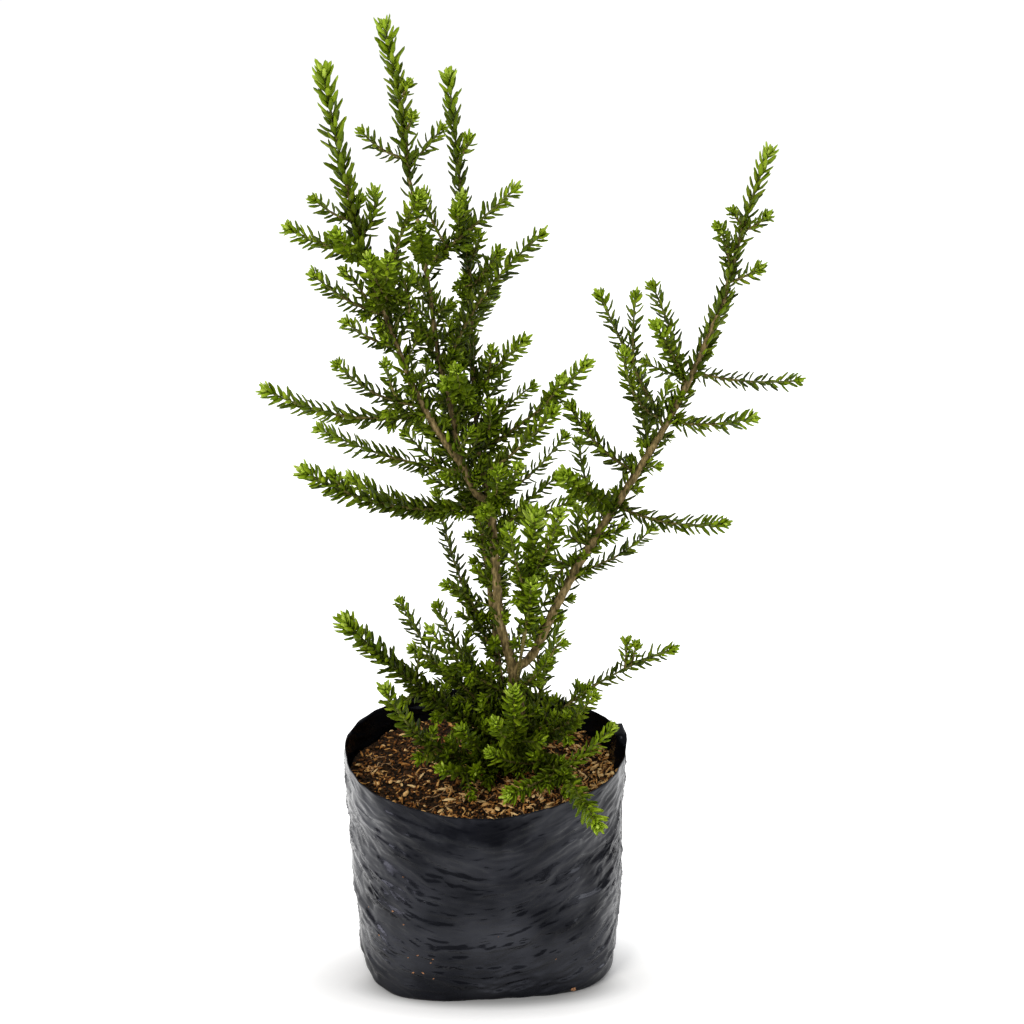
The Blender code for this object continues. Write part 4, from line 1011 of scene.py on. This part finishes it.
# %% Leaf pieces
# tint: darkest, middle and lightest tone
LEAF_TONES = {
    "lime": ((114, 140, 16), (144, 170, 36), (176, 195, 80)),
    "fresh": ((86, 108, 4), (110, 133, 8), (140, 160, 30)),
    "green": ((65, 84, 2), (86, 105, 4), (112, 128, 18)),
    "deep": ((47, 61, 1), (64, 79, 2), (90, 102, 14)),
}
TONE_PLACES = (0.22, 0.5, 0.8)
MOST_LEAVES = 6000             # keeps a piece under 200,000 triangles
for tint, rows in LEAVES.items():
    look = grained("leaf_" + tint, 0.5, 0.11, 2.5, 2.0, zip(TONE_PLACES, LEAF_TONES[tint]),
                   (0.12, 0.35), shares=(0.5, 0.5))
    for number, start in enumerate(range(0, len(rows), MOST_LEAVES), 1):
        some = leaf_mesh(rows[start:start + MOST_LEAVES])
        on_plant(piece_of(f"leaves_{tint}_{number}", *some, look), "foliage", *MASSES)

# %% [markdown]
# ## Grow bag
# The bag is a tube of thin black film with a flat bottom, filled until it stands. Soil pushes
# the film out unevenly and it settles in many long creases, which are level in the middle,
# rise towards both flanks, and fade in the smoother band under the rim.
# A bump map alone would leave the outline of the bag perfectly round, so the creases that one
# can see are in the mesh, and only the finest crinkles are left to the finish.

# %% Creases in the film
FILM = 0.45                    # how thick the film looks at its rim
CREASE_COUNT = 110
DENT_COUNT = 300
FOLD_COUNT = 46
FLAT_BAND = 15.0               # the smoother band under the rim
CREASE_SLOPE = 0.42            # creases rise this steeply towards both flanks of the bag
CREASED_RADIUS = 78.0          # turns an angle round the bag into a length along the film
draw = random.Random(77)


def new_crease(half, wide, high, span=(3, 112)):
    """A thin fold: where its middle is, how far it runs, how it slopes and sags."""
    angle = draw.uniform(-pi, pi)
    steep = CREASE_SLOPE * cos(angle)
    return {"angle": angle, "z": draw.uniform(*span), "half": draw.uniform(*half),
            "slope": draw.gauss(steep, 0.13), "sag": draw.gauss(0.004, 0.005),
            "wide": draw.uniform(*wide), "high": draw.uniform(*high)}


# Long creases, short dents that catch a dark line each, and a few broad folds low down.
CREASES = [new_crease((9, 34), (0.6, 1.7), (-0.5, 1.1)) for _ in range(CREASE_COUNT)]
CREASES += [new_crease((3.5, 14), (0.8, 2.1), (-1.05, -0.3)) for _ in range(DENT_COUNT)]
CREASES += [new_crease((18, 40), (1.2, 2.4), (0.7, 1.4), (4, 62)) for _ in range(FOLD_COUNT)]


def ridge(x, y, z):
    """Noise folded over, so that it makes thin crests with wide hollows between."""
    return max(0.0, 1 - abs(rough(x, y, z)) * 3.2) ** 2


def soft_folds(x, y, z):
    """The film's small unevenness: billows and two sizes of crinkle, all longer than high.
    What a place is divided by is the size of its folds in mm."""
    lift = z - 0.3 * sqrt(x * x + 100) + 7 * rough(x / 38, y / 38, z / 38 + 5)
    lift += 2.2 * rough(x / 13, y / 13, z / 13 + 9)
    patch = 0.5 + 0.9 * rough(x / 30, y / 30, z / 24 + 31)
    wide = ridge(x / 42, y / 42, lift / 9.5) * max(0.0, patch)
    fine = ridge(x / 19 + 4, y / 19, lift / 4.2 + 8) * max(0.0, 1 - patch)
    billow = rough(x / 30 + 9, y / 30, z / 17)
    swell = rough(x / 21 + 3, y / 21, lift / 7.5 + 17)
    ripple = sin(lift * 1.75) * clamped(0.25 + 2 * rough(x / 23, y / 23 + 6, z / 19))
    return 1.0 * wide + 0.8 * fine + 1.2 * billow + 1.0 * swell + 0.22 * ripple


def crease_field(angles, heights):
    """How far every point of a grid (angle by height) is pushed by the long creases."""
    a, z = np.meshgrid(angles, heights, indexing="ij")
    push = np.zeros_like(a)
    for c in CREASES:
        arc = np.angle(np.exp(1j * (a - c["angle"]))) * CREASED_RADIUS
        middle = c["z"] + c["slope"] * arc + c["sag"] * arc * arc
        fade = np.clip(1 - (arc / c["half"]) ** 2, 0, 1)
        off = (z - middle) / c["wide"]
        # One side of a crease is steep and the other soft.
        crest = np.exp(-np.where(off > 0, off * 2.0, -off * 0.8))
        push += c["high"] * fade * crest
    return push


# %% Film mesh
FILM_SIDES = 480
OUTER_RINGS = 114
INNER_RINGS = 14
INNER_DEPTH = 30.0
TAB_DEEP, TAB_TALL = 5.5, 24.0  # the tab's folds stand this far in, and hang this far down
RIM_ROUND = 0.12               # the fold of the rim lies this much above its edges
angles = np.linspace(-pi, pi, FILM_SIDES, endpoint=False)
shares = np.linspace(0.0, 1.0, OUTER_RINGS)
rim = np.array([rim_height(a) for a in angles])


def film_rings():
    """Corners from the middle of the underside, up the outside, over the rim, down inside."""
    long_creases = crease_field(angles, shares * BAG_HEIGHT)
    rings = []
    for k, share in enumerate(shares):
        ring = []
        for j, a in enumerate(angles):
            z = rim[j] * share
            plain = bag_radius(a, z)
            x, y = plain * cos(a), plain * sin(a)
            smooth = mixed(0.3, 1.0, (rim[j] - z) / FLAT_BAND) * min(1.0, 0.15 + z / 9)
            push = smooth * (soft_folds(x, y, z) + long_creases[j, k]) - 0.9 * min(1.0, z / 6)
            # The film lies over the edge of the mix with a few upright ripples near the rim.
            push += 0.35 * (1 - smooth) * sin(a * 23 + 2 * sin(a * 5))
            r = plain + push
            ring.append((r * cos(a), r * sin(a), z))
        rings.append(np.array(ring))
    top = rings[-1]
    flat = np.hypot(top[:, 0], top[:, 1])[:, None]
    over = top * (1 - np.array([1, 1, 0]) * FILM * 0.5 / flat) + np.array([0, 0, RIM_ROUND])
    rings.append(over)
    for k in range(INNER_RINGS):
        down = k / (INNER_RINGS - 1) * INNER_DEPTH
        source = rings[max(0, int(round((OUTER_RINGS - 1) * (1 - down / BAG_HEIGHT))))]
        flat = np.hypot(source[:, 0], source[:, 1])[:, None]
        off = np.abs(np.degrees(angles) - FLAP_ANGLE) / FLAP_HALF
        tab = TAB_DEEP * np.clip(3 * (1 - off), 0, 1) * clamped((TAB_TALL - down) / 3)
        rings.append(source * (1 - np.array([1, 1, 0]) * (FILM + tab[:, None]) / flat))
    return rings


FILM_RINGS = film_rings()

# %% Film finish
film, tree, shader = new_finish("black_film", 0.30, 0.2)
shader.inputs["Specular Tint"].default_value = (0.84, 0.87, 1.0, 1.0)
tree.links.new(tones(tree, spotted(tree, 26, 4.0), [
    (0.3, (0.0026, 0.0028, 0.0040)), (0.7, (0.0052, 0.0056, 0.0080))]),
    shader.inputs["Base Color"])
rub = spotted(tree, 9, 5.0, (1, 1, 0.4))
tree.links.new(ranged(tree, rub, To_Min=0.14, To_Max=0.32), shader.inputs["Roughness"])
# The sheen is stronger in some broad patches, and weak on the inside of the bag: a painted shade in
# that recess.
sheen = ranged(tree, spotted(tree, 34, 3.0, (1.3, 1.3, 0.8)),
               From_Min=0.35, From_Max=0.65, To_Min=0.10, To_Max=0.37)
at = place(tree, "ShaderNodeTexCoord")
facing = place(tree, "ShaderNodeVectorMath", operation="DOT_PRODUCT")
tree.links.new(at.outputs["Object"], facing.inputs[0])
tree.links.new(at.outputs["Normal"], facing.inputs[1])
# Painted shade: the inner face of the film keeps only about a third of the sheen.
outside = ranged(tree, facing.outputs["Value"],
                 From_Min=-0.02, From_Max=0.02, To_Min=0.35, To_Max=1.0)
# Under the middle of the rim the sheen is cut: a painted shade for the dark that the film reflects
# there. Sizes in m.
PAINTED_SHADE_MIDDLE, PAINTED_SHADE_SIZE = (-0.003, -0.081, 0.111), (0.031, 0.060, 0.013)
near = place(tree, "ShaderNodeMapping", Scale=tuple(1 / s for s in PAINTED_SHADE_SIZE),
             Location=tuple(-p / s for p, s in zip(PAINTED_SHADE_MIDDLE, PAINTED_SHADE_SIZE)))
# How far a point is from the middle of the painted shade.
held = place(tree, "ShaderNodeVectorMath", operation="LENGTH")
tree.links.new(at.outputs["Object"], near.inputs["Vector"])
tree.links.new(near.outputs["Vector"], held.inputs[0])
ragged = worked(tree, "MULTIPLY_ADD", spotted(tree, 12, 4.0), 1.6, held.outputs["Value"])
painted_shade_factor = ranged(tree, ragged, From_Min=1.15, From_Max=2.0, To_Min=0.10, To_Max=1.0)
tree.links.new(worked(tree, "MULTIPLY", worked(tree, "MULTIPLY", sheen, outside), painted_shade_factor),
               shader.inputs["Specular IOR Level"])
# The finest crinkles lie along lines that rise towards both flanks, as the creases do.
axes, slanted = place(tree, "ShaderNodeSeparateXYZ"), place(tree, "ShaderNodeCombineXYZ")
tree.links.new(at.outputs["Object"], axes.inputs[0])
across, deep, high = axes.outputs
flank = worked(tree, "SQRT", worked(tree, "MULTIPLY_ADD", across, across, 0.0001))
slant = worked(tree, "MULTIPLY_ADD", flank, -0.3, high)
for value, end in zip((across, deep, slant), slanted.inputs):
    tree.links.new(value, end)
relief = 0.0
for long, tall, share in ((36, 10.5, 1.0), (15, 4.4, 0.3)):
    fit = place(tree, "ShaderNodeMapping", Scale=(1000 / long, 1000 / long, 1000 / tall))
    folds = place(tree, "ShaderNodeTexNoise", noise_type="RIDGED_MULTIFRACTAL", Scale=1.0,
                  Detail=1.6, Distortion=0.7)
    tree.links.new(slanted.outputs[0], fit.inputs["Vector"])
    tree.links.new(fit.outputs["Vector"], folds.inputs["Vector"])
    relief = worked(tree, "MULTIPLY_ADD", folds.outputs["Fac"], share, relief)
calm = ranged(tree, spotted(tree, 30, 2.0, (1, 1, 0.6)),
              From_Min=0.38, From_Max=0.6, To_Min=0.3, To_Max=1.0)
CRINKLE_DEPTH = 3.2
raise_by(tree, shader, worked(tree, "MULTIPLY", relief, calm), CRINKLE_DEPTH)

# %% Grow bag piece
inner_foot = float(FILM_RINGS[-1][:, 2].mean())
skin = closed(np.concatenate(FILM_RINGS), FILM_SIDES, [(0, 0, 0.3), (0, 0, inner_foot)])
on_plant(piece_of("grow_bag_film", *skin, film), "film", "grow_bag")

# %% [markdown]
# ## Potting mix
# The mix is composted bark: nearly black fines, brown crumbs, and many pale splinters and
# curled fibres on top, thickest at the front and the right: partly as they lie there, and
# partly as painted light where the lamps fall on the mix.
# A brown disc with a noise pattern reads as soil seen from far. Here one looks into the pot
# from near, so the surface is a bed with real relief, and the splinters lie on it one by one.

# %% Bed of the mix
BED_RINGS, BED_SIDES = 66, 220
BED_INSET = 2.2
BED_DEEP = 8.0                 # its skirt hides inside the bag
GRIT_HEIGHT = 0.75


def bed_relief(x, y):
    grit = rough(x / 3.1, y / 3.1, 1.0) + 0.6 * rough(x / 1.5, y / 1.5, 4)
    return mix_height(x, y) + GRIT_HEIGHT * grit


def bed_mesh():
    points = []
    for k in range(1, BED_RINGS + 1):
        for j in range(BED_SIDES):
            a = 2 * pi * j / BED_SIDES
            r = (bag_radius(a, MIX_LEVEL) - BED_INSET) * k / BED_RINGS
            x, y = r * cos(a), r * sin(a)
            points.append((x, y, bed_relief(x, y)))
    low = MIX_LEVEL - BED_DEEP
    points += [(x, y, low) for x, y, _ in points[-BED_SIDES:]]
    ends = [(0.0, 0.0, bed_relief(0, 0)), (0.0, 0.0, low)]
    return turned(*closed(points, BED_SIDES, ends))


FINES = grained("mix_fines", 0.95, 0.2, 2.6, 6.0, [
    (0.32, (12, 7, 2)), (0.52, (34, 21, 8)), (0.66, (76, 50, 22)), (0.82, (138, 98, 50))],
    (1.2, 0.9))
on_plant(piece_of("potting_mix_bed", *bed_mesh(), FINES), "mix", "potting_mix")

# %% Splinters and crumbs
CHIP_INSET = 3.6               # chips lie this far in from the film
CHIP_LEVEL = 0.12              # a bent chip's middle is lower by this share of its bend


def chip_form(sections):
    """Corners and faces of a chip, from its shares of length and of width at each section."""
    corners = np.array([(x, y * w / 2, z * w / 2) for x, w in sections
                        for y, z in ((-1, -1), (1, -1), (1, 1), (-1, 1))])
    last = len(corners) - 4
    ends = np.array([(3, 2, 1, 0), (last, last + 1, last + 2, last + 3)])
    return turned(corners, np.concatenate([ring_walls(len(sections), 4), ends]))


SPLINTER = chip_form(((-0.5, 0.4), (-0.15, 1.0), (0.2, 0.85), (0.5, 0.3)))
CRUMB = chip_form(((-0.5, 0.5), (0.06, 1.0), (0.5, 0.4)))


def unit(v):
    return v / np.linalg.norm(v, axis=-1, keepdims=True)


def chip_mesh(form, spots, heading, tilt, roll, length, width, thick, bend):
    """Many chips at once: their form, where each lies, how it is turned, its size and bend."""
    level = np.cos(tilt)
    aim = np.stack([level * np.cos(heading), level * np.sin(heading), np.sin(tilt)], -1)
    side = unit(np.cross(aim, np.array([0.0, 0.0, 1.0])))
    up = np.cross(side, aim)
    side, up = (side * np.cos(roll)[:, None] + up * np.sin(roll)[:, None],
                up * np.cos(roll)[:, None] - side * np.sin(roll)[:, None])
    return copies(form, spots, (aim, side, up), (length, width, thick), bend,
                  CHIP_LEVEL)


def chip_spots(count, rng, front):
    """Places on the bed; the share that is drawn again until it falls at the front or right, partly
    as painted light there.
    """
    spots = []
    while len(spots) < count:
        a, share = rng.uniform(-pi, pi), sqrt(rng.uniform(0, 1))
        r = (bag_radius(a, MIX_LEVEL) - CHIP_INSET) * share
        x, y = r * cos(a), r * sin(a)
        patch = 2.2 * rough(x / 11, y / 11, 20)
        # The front and the right are favoured: partly where the splinters lie, partly painted
        # light.
        patch_and_painted_light = 0.5 + 0.5 * max(-1.0, min(1.0, (0.8 * x - 0.6 * y) / 55 + patch - 0.25))
        if rng.uniform(0, 1) < 1 - front * (1 - patch_and_painted_light):
            spots.append((x, y, bed_relief(x, y)))
    return np.array(spots)


def chips(name, form, count, seed, sizes, front, colours, loft=1.2, bend=0.16):
    """A layer of chips of one tone. sizes: length, width and thickness, each low to high."""
    rng = np.random.default_rng(seed)
    spots = chip_spots(count, rng, front)
    spots[:, 2] += rng.uniform(0.1, loft, count)
    (l0, l1), (w0, w1), (t0, t1) = sizes
    length = l0 + (l1 - l0) * rng.uniform(0, 1, count) ** 1.8
    points, faces = chip_mesh(form, spots, rng.uniform(0, 2 * np.pi, count),
                              rng.normal(0, 0.25, count), rng.normal(0, 0.6, count), length,
                              rng.uniform(w0, w1, count), rng.uniform(t0, t1, count),
                              rng.normal(0, bend, count))
    look = grained(name, 0.85, 0.25, 1.4, 4.0, zip((0.35, 0.75, 1.0), colours), (0.25, 0.5),
                   shares=(1.0, 0.55))
    on_plant(piece_of(name, points, faces, look, smooth=False), "mix", "potting_mix")


chips("mix_dark_crumbs", CRUMB, 3600, 11, ((0.7, 2.6), (0.6, 1.9), (0.6, 1.6)), 0.0,
      ((16, 9, 3), (40, 25, 10), (68, 44, 20)), 0.7)
chips("mix_brown_chips", CRUMB, 2900, 12, ((0.8, 3.6), (0.5, 1.6), (0.5, 1.3)), 0.3,
      ((52, 28, 10), (100, 60, 24), (148, 96, 44)), 1.1)
# The pale splinters keep mostly to the front and the right, partly as painted light.
chips("mix_tan_splinters", SPLINTER, 1080, 13, ((1.6, 8.2), (0.6, 1.9), (0.3, 0.7)), 0.85,
      ((146, 94, 44), (194, 136, 70), (224, 172, 102)), 1.5, 0.12)
chips("mix_pale_splinters", SPLINTER, 480, 14, ((2.6, 9.6), (0.9, 2.6), (0.3, 0.7)), 0.95,
      ((196, 144, 84), (230, 182, 116), (244, 208, 148)), 1.9, 0.18)

# %% Loose fibres
FIBRE_COUNT = 70
FIBRE_SIDES = 5
FIBRE_STEP = 1.3
WALL_GAP = 4.0                 # fibres end this far from the film
draw = random.Random(21)
fibres = []
for _ in range(FIBRE_COUNT):
    a, share = draw.uniform(-pi, pi), sqrt(draw.random()) * 0.9
    r = bag_radius(a, MIX_LEVEL) * share
    spot = Vector((r * cos(a), r * sin(a), 0))
    heading, turn = draw.uniform(0, 2 * pi), draw.gauss(0, 0.12)
    points = []
    for k in range(draw.randint(6, 15)):
        lift = 0.6 + 1.3 * sin(k * 0.45 + share * 9) ** 2
        if hypot(spot.x, spot.y) > bag_radius(a, MIX_LEVEL) - WALL_GAP:
            break
        points.append(Vector((spot.x, spot.y, bed_relief(spot.x, spot.y) + lift)))
        heading += turn + draw.gauss(0, 0.10)
        spot += Vector((cos(heading), sin(heading), 0)) * FIBRE_STEP
    if len(points) > 3:
        line, thick = Line(points), draw.uniform(0.10, 0.30)
        fibres.append(tube(line, line.run, FIBRE_SIDES, lambda *_: thick))
FIBRE = grained("mix_fibre", 0.85, 0.25, 2.0, 3.0, [(0.3, (122, 84, 52)), (0.7, (214, 174, 126))])
on_plant(piece_of("mix_fibres", *joined(fibres), FIBRE), "mix", "potting_mix")

# %% [markdown]
# ## Crumbs on the film
# A few crumbs of bark cling to the lower front of the bag, where it was watered. Each is set
# by the angle round the bag and its height, and pressed a little into the film.

# %% Crumbs on the film
# angle in degrees, height in mm, size in mm
STUCK = [
    (-124, 75, 1.0), (-127, 54, 1.6), (-122, 48, 1.3), (-134, 35, 1.2), (-116, 31, 1.5),
    (-110, 30, 1.2), (-120, 28, 1.0), (-111, 27, 1.2), (-118, 19, 1.7), (-114, 20, 1.9),
    (-110, 17, 1.1), (-60, 25, 1.4), (-52, 2, 4.4), (-84, 43, 1.0), (-143, 46, 0.9),
]
rng = np.random.default_rng(31)
spots, headings = [], []
for angle, height, size in STUCK:
    a = radians(angle)
    ring = FILM_RINGS[round(height / BAG_HEIGHT * (OUTER_RINGS - 1))]
    r = np.hypot(*ring[round((a + pi) / (2 * pi) * FILM_SIDES) % FILM_SIDES][:2])
    spots.append((r * cos(a), r * sin(a), height))
    headings.append(a + pi / 2)
sizes = np.array([row[2] for row in STUCK], dtype=float) * 1.25
count = len(STUCK)
points, faces = chip_mesh(CRUMB, np.array(spots), np.array(headings), rng.normal(0, 0.5, count),
                          rng.normal(pi / 2, 0.3, count), sizes * 0.75, sizes * 0.45,
                          np.full(count, 0.4), np.zeros(count))
BARK_CRUMB = grained("stuck_crumb", 0.9, 0.2, 1.0, 3.0,
                     [(0.35, (112, 72, 48)), (0.7, (190, 142, 104))])
on_plant(piece_of("film_crumbs", points, faces, BARK_CRUMB, smooth=False), "mix")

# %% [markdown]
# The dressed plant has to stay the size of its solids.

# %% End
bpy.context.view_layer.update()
